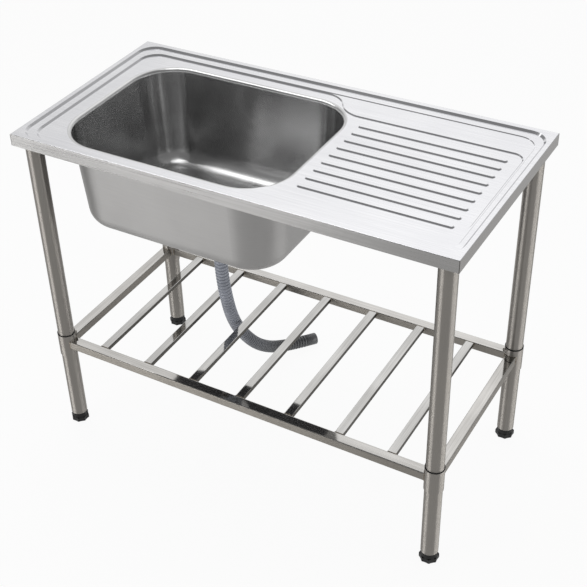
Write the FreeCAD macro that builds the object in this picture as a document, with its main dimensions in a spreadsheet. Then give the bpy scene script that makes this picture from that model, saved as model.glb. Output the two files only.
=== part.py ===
import FreeCAD, Part
import math
import os

import Sketcher

# Free-standing stainless steel sink unit: a pressed worktop with one deep-drawn bowl and a
# ribbed drainer, four round legs on screw feet, and a welded slat shelf clamped on the legs.
# Frame: origin on the floor under the middle of the unit, +X along its length towards the
# drainer, -Y to the front, +Z up.  Everything is in millimetres.

os.makedirs("parts", exist_ok=True)
doc = FreeCAD.newDocument("sink_unit")
sheet = doc.addObject("Spreadsheet::Sheet", "Dimensions")
sheet.Label = "dims"

# Driving dimensions: alias, value, what it is.
DIMENSIONS = [
    ("length", 1000, "worktop along X"),
    ("depth", 500, "worktop along Y"),
    ("height", 800, "floor to the rim"),
    ("gauge", 1.0, "thickness of the pressed sheet"),
    ("skirt", 27, "height of the folded skirt"),
    ("hem", 8, "return folded in under the skirt"),
    ("edgeBend", 1.5, "bend radius along the top edges"),
    ("slope", 45, "lean of every pressed step"),
    ("ledgeDrop", 4.5, "rim down to the ledge"),
    ("plateauDrop", 1.5, "ledge down to the drainer's plateau"),
    ("deckDrop", 2.5, "plateau down to the deck"),
    ("rimLeft", -488, "inner edge of the rim"),
    ("rimRight", 490, "inner edge of the rim"),
    ("rimFront", -242, "inner edge of the rim"),
    ("rimBack", 237, "inner edge of the rim"),
    ("rimCorner", 42, "corner radius of the rim's inner edge"),
    ("ledgeLeft", -467, "inner edge of the ledge"),
    ("ledgeRight", 476, "inner edge of the ledge"),
    ("ledgeFront", -230, "inner edge of the ledge"),
    ("ledgeBack", 214, "inner edge of the ledge"),
    ("ledgeCorner", 42, "corner radius of the ledge's inner edge"),
    ("panelRight", 472, "right edge of the ribbed panel"),
    ("panelFront", -173, "front edge of the ribbed panel"),
    ("panelBack", 148, "back edge of the ribbed panel"),
    ("panelCornerFront", 46, "front right corner radius of the panel"),
    ("panelCornerBack", 26, "back right corner radius of the panel"),
    ("swoopRadius", 60, "radius of the curves from the panel out to the ledge"),
    ("swoopX", 107, "where those curves leave the panel's edges"),
    ("ribCount", 9, "drainer ribs"),
    ("ribPitch", 32.4, "rib to rib"),
    ("ribFirst", -147, "front rib's centre line"),
    ("ribStart", 123.5, "bowl end of the ribs"),
    ("ribEnd", 446, "outer end of the ribs"),
    ("ribWidth", 12, "rib width at the deck"),
    ("ribRise", 2.75, "rib height"),
    ("bowlLeft", -423.5, "bowl mouth"),
    ("bowlRight", 92.5, "bowl mouth"),
    ("bowlFront", -206, "bowl mouth"),
    ("bowlBack", 178, "bowl mouth"),
    ("bowlCorner", 97, "corner radius of the mouth"),
    ("bowlFloor", 568, "inside floor of the bowl"),
    ("bowlDraft", 4.5, "lean of the bowl's walls"),
    ("bowlHeel", 40, "inside radius between wall and floor"),
    ("lipRadius", 8, "rounded lip of the mouth"),
    ("lipMargin", 8.75, "bowl flange outside the mouth"),
    ("dishRadius", 108, "dished floor round the drain"),
    ("dishDrop", 3, "depth of the dish"),
    ("dishFlat", 57, "flat seat round the drain hole"),
    ("drainX", -165, "drain axis"),
    ("drainY", 0, "drain axis"),
    ("drainHole", 45, "radius of the hole for the drain"),
    ("legInset", 32, "leg axis in from the skirts"),
    ("legRadius", 19, "leg tube outside"),
    ("legWall", 1.2, "leg tube wall"),
    ("legFoot", 24, "lower end of the leg tubes"),
    ("bracketLevel", 776, "underside of the corner brackets"),
    ("bracketPlate", 2, "corner bracket plate"),
    ("bracketReach", 50, "plate beyond the leg axis"),
    ("bracketCut", 10, "start of the plate's cut corner"),
    ("bracketFlange", 14, "height of the flanges on the skirts"),
    ("spigotRadius", 17.5, "spigot inside the leg"),
    ("spigotWall", 2, "spigot wall"),
    ("spigotLength", 40, "spigot below the plate"),
    ("screwLevel", 754, "leg screws"),
    ("screwHead", 5, "radius of a leg screw's head"),
    ("screwHeadHigh", 3, "height of the head"),
    ("screwShank", 3, "radius of the M6 shank"),
    ("screwReach", 7, "shank length"),
    ("stiffenerX", 285, "channel under the drainer"),
    ("stiffenerLength", 300, "channel along Y"),
    ("stiffenerMiddle", -12, "middle of the channel along Y"),
    ("stiffenerWidth", 40, "channel width over its flanges"),
    ("stiffenerWeb", 22, "channel's closed side"),
    ("stiffenerHigh", 14, "channel height"),
    ("stiffenerGauge", 1.2, "channel sheet"),
    ("shelfTop", 250, "top of the shelf"),
    ("railWide", 25, "shelf rail width"),
    ("railHigh", 20, "shelf rail height"),
    ("railRound", 2.5, "rail corner radius"),
    ("railWall", 1.2, "rail wall"),
    ("slatCount", 7, "shelf slats"),
    ("slatPitch", 122.5, "slat to slat"),
    ("slatWide", 20, "slat width"),
    ("slatHigh", 10, "slat height"),
    ("slatRound", 1.8, "slat corner radius"),
    ("slatWall", 1.0, "slat wall"),
    ("sleeveLow", 208, "lower end of the shelf sleeves"),
    ("sleeveHigh", 266, "upper end of the shelf sleeves"),
    ("sleeveWall", 1.5, "sleeve wall"),
    ("slideGap", 0.3, "clearance of what slides or turns on another piece"),
    ("threadGap", 0.2, "clearance of a nut or seal round the drain"),
    ("ringHigh", 2.5, "black ring on top of a sleeve"),
    ("grubLevel", 258, "grub screws of the sleeves"),
    ("bossRadius", 6.5, "threaded boss on a sleeve"),
    ("bossReach", 24.5, "leg axis to the boss's face"),
    ("grubRadius", 3, "M6 grub screw"),
    ("grubLength", 5, "grub screw length"),
    ("grubHex", 1.7, "half of the hexagon socket across corners"),
    ("grubHexDeep", 3, "depth of the hexagon socket"),
    ("footRadius", 21.7, "foot over its lobe tips"),
    ("footBase", 11, "height of the lobed base"),
    ("footLobes", 8, "lobes on a foot"),
    ("scallopRadius", 35, "hollow between two lobes"),
    ("scallopDepth", 2.65, "depth of that hollow below the tips"),
    ("footEdge", 0.8, "bevel round the lobes"),
    ("footWaist", 19, "foot radius just above the lobes"),
    ("stemRadius", 5.7, "threaded stem, major radius"),
    ("stemTop", 50, "top of the stem"),
    ("collarLow", 21, "lower face of the insert's collar, the foot's stop"),
    ("collarTaper", 17.5, "radius of the collar's lower face"),
    ("plugRadius", 17.6, "insert inside the tube"),
    ("plugTop", 54, "top of the insert"),
    ("plugBore", 6.0, "threaded bore of the insert"),
    ("washerHigh", 1, "flat sealing washers"),
    ("flangeRadius", 56, "drain flange in the bowl"),
    ("cupRadius", 44, "drain cup outside"),
    ("cupWall", 1.2, "drain cup wall"),
    ("cupFloor", 523, "inside floor of the drain cup"),
    ("outletRadius", 22, "drain outlet outside"),
    ("outletBore", 20, "drain outlet bore"),
    ("outletLow", 500, "end of the drain outlet"),
    ("sealHigh", 3, "seal under the bowl"),
    ("sealInset", 1, "a seal's edges in from its seat's"),
    ("locknutRadius", 50, "locknut under the bowl"),
    ("locknutHigh", 12, "height of the locknut"),
    ("lugCount", 6, "grip lugs on a nut"),
    ("lugReach", 3, "lug beyond its nut"),
    ("lugRoot", 2, "lug inside its nut"),
    ("lugWide", 8, "lug width"),
    ("flangeLow", 495, "underside of the adaptor's flange"),
    ("nutLow", 491, "lower face of the slip nut"),
    ("nutTop", 507, "upper face of the slip nut"),
    ("nutRadius", 27, "slip nut outside"),
    ("adaptorBody", 14.5, "adaptor between its flange and the hose"),
    ("hoseSpigot", 11.95, "adaptor inside the hose"),
    ("spigotBore", 10.2, "bore of the adaptor"),
    ("spigotEnd", 442, "lower end of the adaptor"),
    ("hoseTop", 470, "upper end of the hose"),
    ("clampLow", 452, "lower edge of the hose clamp"),
    ("clampHigh", 10, "width of the clamp's band"),
    ("clampWall", 1, "thickness of the band"),
    ("wormLong", 13, "worm housing along the band"),
    ("wormDeep", 8, "worm housing off the band"),
    ("basketFloor", 531, "underside of the strainer basket"),
    ("basketTop", 560, "rim of the strainer basket"),
    ("basketRadius", 34, "basket at its floor"),
    ("basketRim", 42, "basket at its rim"),
    ("basketWall", 1.5, "basket wall"),
    ("slotCount", 10, "strainer slots"),
    ("slotInner", 13, "inner end of a strainer slot"),
    ("slotOuter", 29, "outer end of a strainer slot"),
    ("slotWide", 3.5, "width of a strainer slot"),
    ("knobNeck", 4, "stem of the basket's knob"),
    ("knobRadius", 9, "knob"),
    ("knobLow", 550, "underside of the knob"),
    ("stopperRadius", 26, "rubber stopper on the cup's floor"),
    ("stopperNeck", 18, "stopper under the basket"),
    ("hoseBore", 12, "bore of the hose"),
    ("ribRoot", 13.5, "hose between two ribs"),
    ("ribCrest", 15.5, "hose over its ribs"),
    ("cuffRadius", 15, "plain ends of the hose"),
    ("cuffLength", 31, "length of a plain end"),
    ("hosePitch", 8.4, "rib to rib along the hose"),
    ("ribFoot", 0.1, "share of a pitch before a rib rises"),
    ("ribShoulder", 0.3, "share of a pitch before its crest"),
]
for row, (alias, value, meaning) in enumerate(DIMENSIONS, start=1):
    sheet.set("A%d" % row, meaning)
    sheet.set("B%d" % row, str(value))
    sheet.setAlias("B%d" % row, alias)

# The corners, each with its signs along X and Y and the turn that brings the front left
# corner's hardware to it.
CORNERS = [
    ("front_left", -1, -1, 0),
    ("front_right", 1, -1, 90),
    ("back_right", 1, 1, 180),
    ("back_left", -1, 1, 270),
]
NEAR = 1e-3
doc.recompute()


# ---------------------------------------------------------------- small helpers


def worth(text):
    """The present value of an expression."""
    return float(sheet.evalExpression(text))


def bind(thing, path, text):
    thing.setExpression(path, text)


def place(thing, x="0", y="0", z="0", axis=FreeCAD.Vector(0, 0, 1), turn=0):
    """Put a sub-part where three expressions say."""
    thing.Placement = FreeCAD.Placement(FreeCAD.Vector(), FreeCAD.Rotation(axis, turn))
    bind(thing, "Placement.Base.x", x)
    bind(thing, "Placement.Base.y", y)
    bind(thing, "Placement.Base.z", z)


def new_body(name):
    body = doc.addObject("PartDesign::Body", name)
    body.Label = name
    return body


def origin_plane(body, role):
    return [plane for plane in body.Origin.OriginFeatures if plane.Role == role][0]


def new_sketch(body, name, role="XY_Plane", level=None):
    sketch = body.newObject("Sketcher::SketchObject", name)
    sketch.AttachmentSupport = [(origin_plane(body, role), "")]
    sketch.MapMode = "FlatFace"
    if level is not None:
        bind(sketch, "AttachmentOffset.Base.z", level)
    return sketch


def fix(sketch, kind, *where, text):
    """A dimensional constraint whose value follows an expression."""
    number = sketch.addConstraint(Sketcher.Constraint(kind, *where, worth(text)))
    bind(sketch, "Constraints[%d]" % number, text)


def line(sketch, start, end):
    vectors = [FreeCAD.Vector(point[0], point[1], 0) for point in (start, end)]
    return sketch.addGeometry(Part.LineSegment(*vectors))


def arc(sketch, centre, radius, first, last):
    """A counter-clockwise arc between two angles in degrees."""
    whole = Part.Circle(FreeCAD.Vector(centre[0], centre[1], 0), FreeCAD.Vector(0, 0, 1), radius)
    return sketch.addGeometry(Part.ArcOfCircle(whole, math.radians(first), math.radians(last)))


def circle(sketch, radius, x="0", y="0"):
    """A full circle with its radius and centre bound."""
    centre = FreeCAD.Vector(worth(x), worth(y), 0)
    edge = sketch.addGeometry(Part.Circle(centre, FreeCAD.Vector(0, 0, 1), worth(radius)))
    fix(sketch, "Radius", edge, text=radius)
    if x == "0" and y == "0":
        sketch.addConstraint(Sketcher.Constraint("Coincident", edge, 3, -1, 1))
    else:
        fix(sketch, "DistanceX", -1, 1, edge, 3, text=x)
        fix(sketch, "DistanceY", -1, 1, edge, 3, text=y)


def rectangle(sketch, left, right, low, high):
    """Four lines, each bound to its own level."""
    x0, x1, y0, y1 = worth(left), worth(right), worth(low), worth(high)
    corners = [(x0, y0), (x1, y0), (x1, y1), (x0, y1)]
    sides = [line(sketch, corners[k], corners[(k + 1) % 4]) for k in range(4)]
    for k, side in enumerate(sides):
        sketch.addConstraint(Sketcher.Constraint("Coincident", side, 2, sides[(k + 1) % 4], 1))
        sketch.addConstraint(Sketcher.Constraint("Horizontal" if k % 2 == 0 else "Vertical", side))
    fix(sketch, "DistanceY", -1, 1, sides[0], 1, text=low)
    fix(sketch, "DistanceX", -1, 1, sides[1], 1, text=right)
    fix(sketch, "DistanceY", -1, 1, sides[2], 1, text=high)
    fix(sketch, "DistanceX", -1, 1, sides[3], 1, text=left)


def rounded_rectangle(sketch, left, right, low, high, radius):
    """Four lines and four tangent arcs of one radius."""
    x0, x1, y0, y1, bend = worth(left), worth(right), worth(low), worth(high), worth(radius)
    low_side = line(sketch, (x0 + bend, y0), (x1 - bend, y0))
    low_right = arc(sketch, (x1 - bend, y0 + bend), bend, 270, 360)
    right_side = line(sketch, (x1, y0 + bend), (x1, y1 - bend))
    high_right = arc(sketch, (x1 - bend, y1 - bend), bend, 0, 90)
    high_side = line(sketch, (x1 - bend, y1), (x0 + bend, y1))
    high_left = arc(sketch, (x0 + bend, y1 - bend), bend, 90, 180)
    left_side = line(sketch, (x0, y1 - bend), (x0, y0 + bend))
    low_left = arc(sketch, (x0 + bend, y0 + bend), bend, 180, 270)
    chain = [low_side, low_right, right_side, high_right, high_side, high_left, left_side, low_left]
    for k, edge in enumerate(chain):
        sketch.addConstraint(Sketcher.Constraint("Tangent", edge, 2, chain[(k + 1) % 8], 1))
    for side in (low_side, high_side):
        sketch.addConstraint(Sketcher.Constraint("Horizontal", side))
    for side in (right_side, left_side):
        sketch.addConstraint(Sketcher.Constraint("Vertical", side))
    for bend_arc in (low_right, high_right, high_left, low_left):
        fix(sketch, "Radius", bend_arc, text=radius)
    fix(sketch, "DistanceY", -1, 1, low_side, 1, text=low)
    fix(sketch, "DistanceX", -1, 1, right_side, 1, text=right)
    fix(sketch, "DistanceY", -1, 1, high_side, 1, text=high)
    fix(sketch, "DistanceX", -1, 1, left_side, 1, text=left)


def slot(sketch, start, end, middle, half):
    """A slot along X with half-round ends; half is half its width."""
    x0, x1, y, bend = worth(start), worth(end), worth(middle), worth(half)
    low_side = line(sketch, (x0 + bend, y - bend), (x1 - bend, y - bend))
    far_end = arc(sketch, (x1 - bend, y), bend, 270, 450)
    high_side = line(sketch, (x1 - bend, y + bend), (x0 + bend, y + bend))
    near_end = arc(sketch, (x0 + bend, y), bend, 90, 270)
    chain = [low_side, far_end, high_side, near_end]
    for k, edge in enumerate(chain):
        sketch.addConstraint(Sketcher.Constraint("Tangent", edge, 2, chain[(k + 1) % 4], 1))
    sketch.addConstraint(Sketcher.Constraint("Horizontal", low_side))
    fix(sketch, "Radius", far_end, text=half)
    fix(sketch, "DistanceX", -1, 1, near_end, 3, text="%s + %s" % (start, half))
    fix(sketch, "DistanceX", -1, 1, far_end, 3, text="%s - %s" % (end, half))
    fix(sketch, "DistanceY", -1, 1, near_end, 3, text=middle)


def polygon(sketch, points):
    """A closed outline whose corners are pairs of expressions."""
    spots = [(worth(x), worth(y)) for x, y in points]
    count = len(points)
    sides = [line(sketch, spots[k], spots[(k + 1) % count]) for k in range(count)]
    for k, side in enumerate(sides):
        sketch.addConstraint(Sketcher.Constraint("Coincident", side, 2, sides[(k + 1) % count], 1))
        for kind, text, axis in (("DistanceX", points[k][0], -2), ("DistanceY", points[k][1], -1)):
            if text == "0":
                sketch.addConstraint(Sketcher.Constraint("PointOnObject", side, 1, axis))
            else:
                fix(sketch, kind, -1, 1, side, 1, text=text)


def extrude(body, kind, name, sketch, length, lean=None, back=False, both=False):
    """A Pad or Pocket of a bound length; a negative lean draws it in as it goes."""
    feature = body.newObject("PartDesign::" + kind, name)
    feature.Profile = sketch
    bind(feature, "Length", length)
    if lean:
        bind(feature, "TaperAngle", lean)
    if both:
        feature.SideType = "Symmetric"
    feature.Reversed = back
    return feature


def cut_through(body, name, sketch):
    feature = body.newObject("PartDesign::Pocket", name)
    feature.Profile = sketch
    feature.Type = "ThroughAll"
    feature.SideType = "Symmetric"
    return feature


def turn_profile(body, name, points):
    """Revolve a closed profile of (radius, level) pairs about the body's Z axis."""
    sketch = new_sketch(body, name + "_profile", "XZ_Plane")
    polygon(sketch, points)
    turned = body.newObject("PartDesign::Revolution", name)
    turned.Profile = sketch
    turned.ReferenceAxis = (sketch, ["V_Axis"])
    turned.Angle = 360
    return turned


def round_edges(body, name, radius, wanted):
    """Fillet the edges of the body's present shape that a test picks."""
    doc.recompute()
    base = body.Tip
    names = ["Edge%d" % (k + 1) for k, edge in enumerate(base.Shape.Edges) if wanted(edge)]
    fillet = body.newObject("PartDesign::Fillet", name)
    fillet.Base = (base, names)
    bind(fillet, "Radius", radius)
    return fillet


def lies_at(edge, level):
    """Whether an edge lies flat at a level."""
    box = edge.BoundBox
    return abs(box.ZMin - level) < NEAR and abs(box.ZMax - level) < NEAR


# ---------------------------------------------------------------- worktop


def deck_outline(sketch, grow):
    """The deck: the bowl's surround and the ribbed panel in one, joined by two swoops."""
    left = "(dims.ledgeLeft + dims.plateauDrop - %s)" % grow
    back = "(dims.ledgeBack - dims.plateauDrop + %s)" % grow
    front = "(dims.ledgeFront + dims.plateauDrop - %s)" % grow
    right = "(dims.panelRight + %s)" % grow
    panel_back = "(dims.panelBack + %s)" % grow
    panel_front = "(dims.panelFront - %s)" % grow
    corner = "(dims.ledgeCorner - dims.plateauDrop + %s)" % grow
    right_front = "(dims.panelCornerFront + %s)" % grow
    right_back = "(dims.panelCornerBack + %s)" % grow
    inner = "(dims.swoopRadius + %s)" % grow
    outer = "(dims.swoopRadius - %s)" % grow
    x0, x1, y0, y1 = worth(left), worth(right), worth(front), worth(back)
    p0, p1 = worth(panel_front), worth(panel_back)
    bend, bend_front, bend_back = worth(corner), worth(right_front), worth(right_back)
    r_in, r_out, x_out = worth(inner), worth(outer), worth("dims.swoopX")

    # Each swoop turns in on one arc and back on another, so its two arcs share one angle.
    turn_front = math.degrees(math.acos(1 - (p0 - y0) / (r_in + r_out)))
    turn_back = math.degrees(math.acos(1 - (y1 - p1) / (r_in + r_out)))
    x_front = x_out - (r_in + r_out) * math.sin(math.radians(turn_front))
    x_back = x_out - (r_in + r_out) * math.sin(math.radians(turn_back))

    panel_low = line(sketch, (x_out, p0), (x1 - bend_front, p0))
    corner_low = arc(sketch, (x1 - bend_front, p0 + bend_front), bend_front, 270, 360)
    side_right = line(sketch, (x1, p0 + bend_front), (x1, p1 - bend_back))
    corner_high = arc(sketch, (x1 - bend_back, p1 - bend_back), bend_back, 0, 90)
    panel_high = line(sketch, (x1 - bend_back, p1), (x_out, p1))
    swoop_a = arc(sketch, (x_out, p1 + r_out), r_out, 270 - turn_back, 270)
    swoop_b = arc(sketch, (x_back, y1 - r_in), r_in, 90 - turn_back, 90)
    side_high = line(sketch, (x_back, y1), (x0 + bend, y1))
    bend_high = arc(sketch, (x0 + bend, y1 - bend), bend, 90, 180)
    side_left = line(sketch, (x0, y1 - bend), (x0, y0 + bend))
    bend_low = arc(sketch, (x0 + bend, y0 + bend), bend, 180, 270)
    side_low = line(sketch, (x0 + bend, y0), (x_front, y0))
    swoop_c = arc(sketch, (x_front, y0 + r_in), r_in, 270, 270 + turn_front)
    swoop_d = arc(sketch, (x_out, p0 - r_out), r_out, 90, 90 + turn_front)

    # Arcs run counter-clockwise, so the two outer swoop arcs are met at their far ends.
    chain = [
        (panel_low, 1, 2), (corner_low, 1, 2), (side_right, 1, 2), (corner_high, 1, 2),
        (panel_high, 1, 2), (swoop_a, 2, 1), (swoop_b, 1, 2), (side_high, 1, 2),
        (bend_high, 1, 2), (side_left, 1, 2), (bend_low, 1, 2), (side_low, 1, 2),
        (swoop_c, 1, 2), (swoop_d, 2, 1),
    ]
    for k, (edge, _, leave) in enumerate(chain):
        follower, enter, _ = chain[(k + 1) % len(chain)]
        sketch.addConstraint(Sketcher.Constraint("Tangent", edge, leave, follower, enter))
    for side in (panel_low, panel_high, side_high, side_low):
        sketch.addConstraint(Sketcher.Constraint("Horizontal", side))
    for side in (side_right, side_left):
        sketch.addConstraint(Sketcher.Constraint("Vertical", side))
    radii = [
        (corner_low, right_front), (corner_high, right_back), (bend_high, corner),
        (bend_low, corner), (swoop_a, outer), (swoop_b, inner), (swoop_c, inner),
        (swoop_d, outer),
    ]
    for edge, radius in radii:
        fix(sketch, "Radius", edge, text=radius)
    fix(sketch, "DistanceY", -1, 1, panel_low, 1, text=panel_front)
    fix(sketch, "DistanceX", -1, 1, side_right, 1, text=right)
    fix(sketch, "DistanceY", -1, 1, panel_high, 1, text=panel_back)
    fix(sketch, "DistanceY", -1, 1, side_high, 1, text=back)
    fix(sketch, "DistanceX", -1, 1, side_left, 1, text=left)
    fix(sketch, "DistanceY", -1, 1, side_low, 1, text=front)
    fix(sketch, "DistanceX", -1, 1, swoop_a, 3, text="dims.swoopX")
    fix(sketch, "DistanceX", -1, 1, swoop_d, 3, text="dims.swoopX")


def pressed_block(name, inset, hem):
    """The pressed form as a solid block: the sheet's top skin, or, inset by the gauge, the
    space under the sheet.  The sheet is the first with the second taken out of it."""
    body = new_body(name)
    grow = "(%s * (1 - sin(dims.slope)) / cos(dims.slope))" % inset
    lean = "-dims.slope"
    top = "(dims.height - %s)" % inset
    side_x = "(dims.length / 2 - %s)" % inset
    side_y = "(dims.depth / 2 - %s)" % inset
    bottom = "(dims.height - dims.skirt + %s)" % ("dims.gauge" if hem else "0")

    block = new_sketch(body, name + "_block", level=bottom)
    rectangle(block, "-" + side_x, side_x, "-" + side_y, side_y)
    extrude(body, "Pad", name + "_height", block, "%s - %s" % (top, bottom))
    if hem:
        mouth = new_sketch(body, name + "_mouth", level=bottom)
        reach_x = "(%s - dims.hem)" % side_x
        reach_y = "(%s - dims.hem)" % side_y
        rectangle(mouth, "-" + reach_x, reach_x, "-" + reach_y, reach_y)
        extrude(body, "Pad", name + "_open", mouth, "2 * dims.gauge", back=True)

    ledge = new_sketch(body, name + "_rim", level=top)
    rounded_rectangle(
        ledge,
        "(dims.rimLeft - %s)" % grow, "(dims.rimRight + %s)" % grow,
        "(dims.rimFront - %s)" % grow, "(dims.rimBack + %s)" % grow,
        "(dims.rimCorner + %s)" % grow,
    )
    extrude(body, "Pocket", name + "_ledge", ledge, "dims.ledgeDrop", lean)

    plateau = new_sketch(body, name + "_inner", level="%s - dims.ledgeDrop" % top)
    rounded_rectangle(
        plateau,
        "(dims.ledgeLeft - %s)" % grow, "(dims.ledgeRight + %s)" % grow,
        "(dims.ledgeFront - %s)" % grow, "(dims.ledgeBack + %s)" % grow,
        "(dims.ledgeCorner + %s)" % grow,
    )
    extrude(body, "Pocket", name + "_plateau", plateau, "dims.plateauDrop", lean)

    level = "%s - dims.ledgeDrop - dims.plateauDrop" % top
    deck = new_sketch(body, name + "_deck_edge", level=level)
    deck_outline(deck, grow)
    extrude(body, "Pocket", name + "_deck", deck, "dims.deckDrop", lean)

    rib = new_sketch(body, name + "_rib_edge", level=level + " - dims.deckDrop")
    slot(rib, "(dims.ribStart + %s)" % grow, "(dims.ribEnd - %s)" % grow, "dims.ribFirst",
         "(dims.ribWidth / 2 - %s)" % grow)
    raised = extrude(body, "Pad", name + "_rib", rib, "dims.ribRise", lean)
    ribs = body.newObject("PartDesign::LinearPattern", name + "_ribs")
    ribs.Originals = [raised]
    ribs.Direction = (rib, ["V_Axis"])
    bind(ribs, "Length", "(dims.ribCount - 1) * dims.ribPitch")
    bind(ribs, "Occurrences", "dims.ribCount")
    body.Tip = ribs
    return body


def bowl_mouth(sketch, grow):
    """The bowl's mouth, grown by a margin."""
    rounded_rectangle(
        sketch,
        "(dims.bowlLeft - %s)" % grow, "(dims.bowlRight + %s)" % grow,
        "(dims.bowlFront - %s)" % grow, "(dims.bowlBack + %s)" % grow,
        "(dims.bowlCorner + %s)" % grow,
    )


DECK = "(dims.height - dims.ledgeDrop - dims.plateauDrop - dims.deckDrop)"


def make_worktop():
    skin = pressed_block("worktop_skin", "0", hem=False)
    mouth = new_sketch(skin, "worktop_mouth", level=DECK)
    bowl_mouth(mouth, "dims.lipMargin")
    cut_through(skin, "worktop_hole", mouth)
    top = worth("dims.height")
    half_x, half_y = worth("dims.length / 2"), worth("dims.depth / 2")

    def on_top_edge(edge):
        box = edge.BoundBox
        at_side = abs(abs(box.XMin) - half_x) < NEAR and box.XLength < NEAR
        at_front = abs(abs(box.YMin) - half_y) < NEAR and box.YLength < NEAR
        return lies_at(edge, top) and (at_side or at_front)

    round_edges(skin, "worktop_bend", "dims.edgeBend", on_top_edge)
    hollow = pressed_block("worktop_hollow", "dims.gauge", hem=True)
    worktop = doc.addObject("Part::Cut", "worktop")
    worktop.Base = skin
    worktop.Tool = hollow
    worktop.Label = "worktop"
    return worktop


# ---------------------------------------------------------------- bowl


def bowl_form(name, grow, mouth_level, floor_level, heel, flange):
    """A drafted, round-cornered tub: the bowl's outside, or the space inside it."""
    body = new_body(name)
    brim = new_sketch(body, name + "_brim", level=mouth_level)
    bowl_mouth(brim, "dims.lipMargin")
    # The outside has its flange below the mouth's level, and the inside a lid above it.
    extrude(body, "Pad", name + "_flange", brim, flange[0], back=flange[1])
    edge = new_sketch(body, name + "_edge", level=mouth_level)
    bowl_mouth(edge, grow)
    extrude(body, "Pad", name + "_tub", edge, "%s - %s" % (mouth_level, floor_level),
            "-dims.bowlDraft", back=True)
    floor = worth(floor_level)
    round_edges(body, name + "_heel", heel, lambda side: lies_at(side, floor))
    return body


def make_bowl():
    outer_floor = "(dims.bowlFloor - dims.gauge)"
    wall = "(dims.gauge / cos(dims.bowlDraft))"
    outside = bowl_form("bowl_outside", wall, DECK, outer_floor, "dims.bowlHeel + dims.gauge",
                        ("dims.gauge", True))
    halfway = worth("dims.lipMargin / 4")
    left, right = worth("dims.bowlLeft") - halfway, worth("dims.bowlRight") + halfway
    front, back = worth("dims.bowlFront") - halfway, worth("dims.bowlBack") + halfway

    def joins_wall(edge):
        box = edge.BoundBox
        return left < box.XMin and box.XMax < right and front < box.YMin and box.YMax < back

    under = worth(DECK + " - dims.gauge")
    round_edges(outside, "bowl_outside_lip", "dims.lipRadius - dims.gauge",
                lambda edge: lies_at(edge, under) and joins_wall(edge))
    inside = bowl_form("bowl_inside", "0", DECK, "dims.bowlFloor", "dims.bowlHeel",
                       ("dims.bowlHeel", False))
    level = worth(DECK)
    round_edges(inside, "bowl_inside_lip", "dims.lipRadius",
                lambda edge: lies_at(edge, level) and joins_wall(edge))
    for body, floor in ((outside, outer_floor), (inside, "dims.bowlFloor")):
        dish = body.newObject("PartDesign::AdditiveCone", body.Name + "_dish")
        bind(dish, "Radius1", "dims.dishFlat")
        bind(dish, "Radius2", "dims.dishRadius")
        bind(dish, "Height", "dims.dishDrop")
        dish.AttachmentSupport = [(origin_plane(body, "XY_Plane"), "")]
        dish.MapMode = "FlatFace"
        bind(dish, "AttachmentOffset.Base.x", "dims.drainX")
        bind(dish, "AttachmentOffset.Base.y", "dims.drainY")
        bind(dish, "AttachmentOffset.Base.z", "%s - dims.dishDrop" % floor)
    hole = new_sketch(inside, "bowl_drain_hole", level="dims.bowlFloor + dims.gauge")
    circle(hole, "dims.drainHole", "dims.drainX", "dims.drainY")
    extrude(inside, "Pad", "bowl_drain_bore", hole, "2 * dims.dishDrop + 3 * dims.gauge", back=True)
    bowl = doc.addObject("Part::Cut", "sink_bowl")
    bowl.Base = outside
    bowl.Tool = inside
    bowl.Label = "sink_bowl"
    return bowl


worktop = make_worktop()
sink_bowl = make_bowl()


# ---------------------------------------------------------------- frame and corners

LEG_X = "(dims.length / 2 - dims.legInset)"
LEG_Y = "(dims.depth / 2 - dims.legInset)"


def at_leg(thing, sign_x, sign_y, turn=0):
    """Place a sub-part on one of the leg axes."""
    x = LEG_X if sign_x > 0 else "-" + LEG_X
    y = LEG_Y if sign_y > 0 else "-" + LEG_Y
    place(thing, x, y, turn=turn)


def inward_cylinder(body, kind, name, radius, start, reach, level):
    """A round boss, hole or shank that points inward at 45 degrees between the two skirts."""
    part = body.newObject("PartDesign::%sCylinder" % kind, name)
    bind(part, "Radius", radius)
    bind(part, "Height", reach)
    part.AttachmentSupport = [(origin_plane(body, "XY_Plane"), "")]
    part.MapMode = "FlatFace"
    heading = FreeCAD.Rotation(FreeCAD.Vector(0, 0, 1), FreeCAD.Vector(1, 1, 0))
    part.AttachmentOffset = FreeCAD.Placement(FreeCAD.Vector(), heading)
    bind(part, "AttachmentOffset.Base.x", "(%s) * cos(45)" % start)
    bind(part, "AttachmentOffset.Base.y", "(%s) * sin(45)" % start)
    bind(part, "AttachmentOffset.Base.z", level)
    return part


def four_corners(name, master):
    """Repeat a front left piece at the other corners as separate solids of one sub-part."""
    beside = doc.addObject("Part::Mirroring", name + "_beside")
    beside.Source = master
    beside.Normal = FreeCAD.Vector(1, 0, 0)
    front = doc.addObject("Part::Compound", name + "_front")
    front.Links = [master, beside]
    behind = doc.addObject("Part::Mirroring", name + "_behind")
    behind.Source = front
    behind.Normal = FreeCAD.Vector(0, 1, 0)
    group = doc.addObject("Part::Compound", name)
    group.Links = [front, behind]
    group.Label = name
    return group


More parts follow.
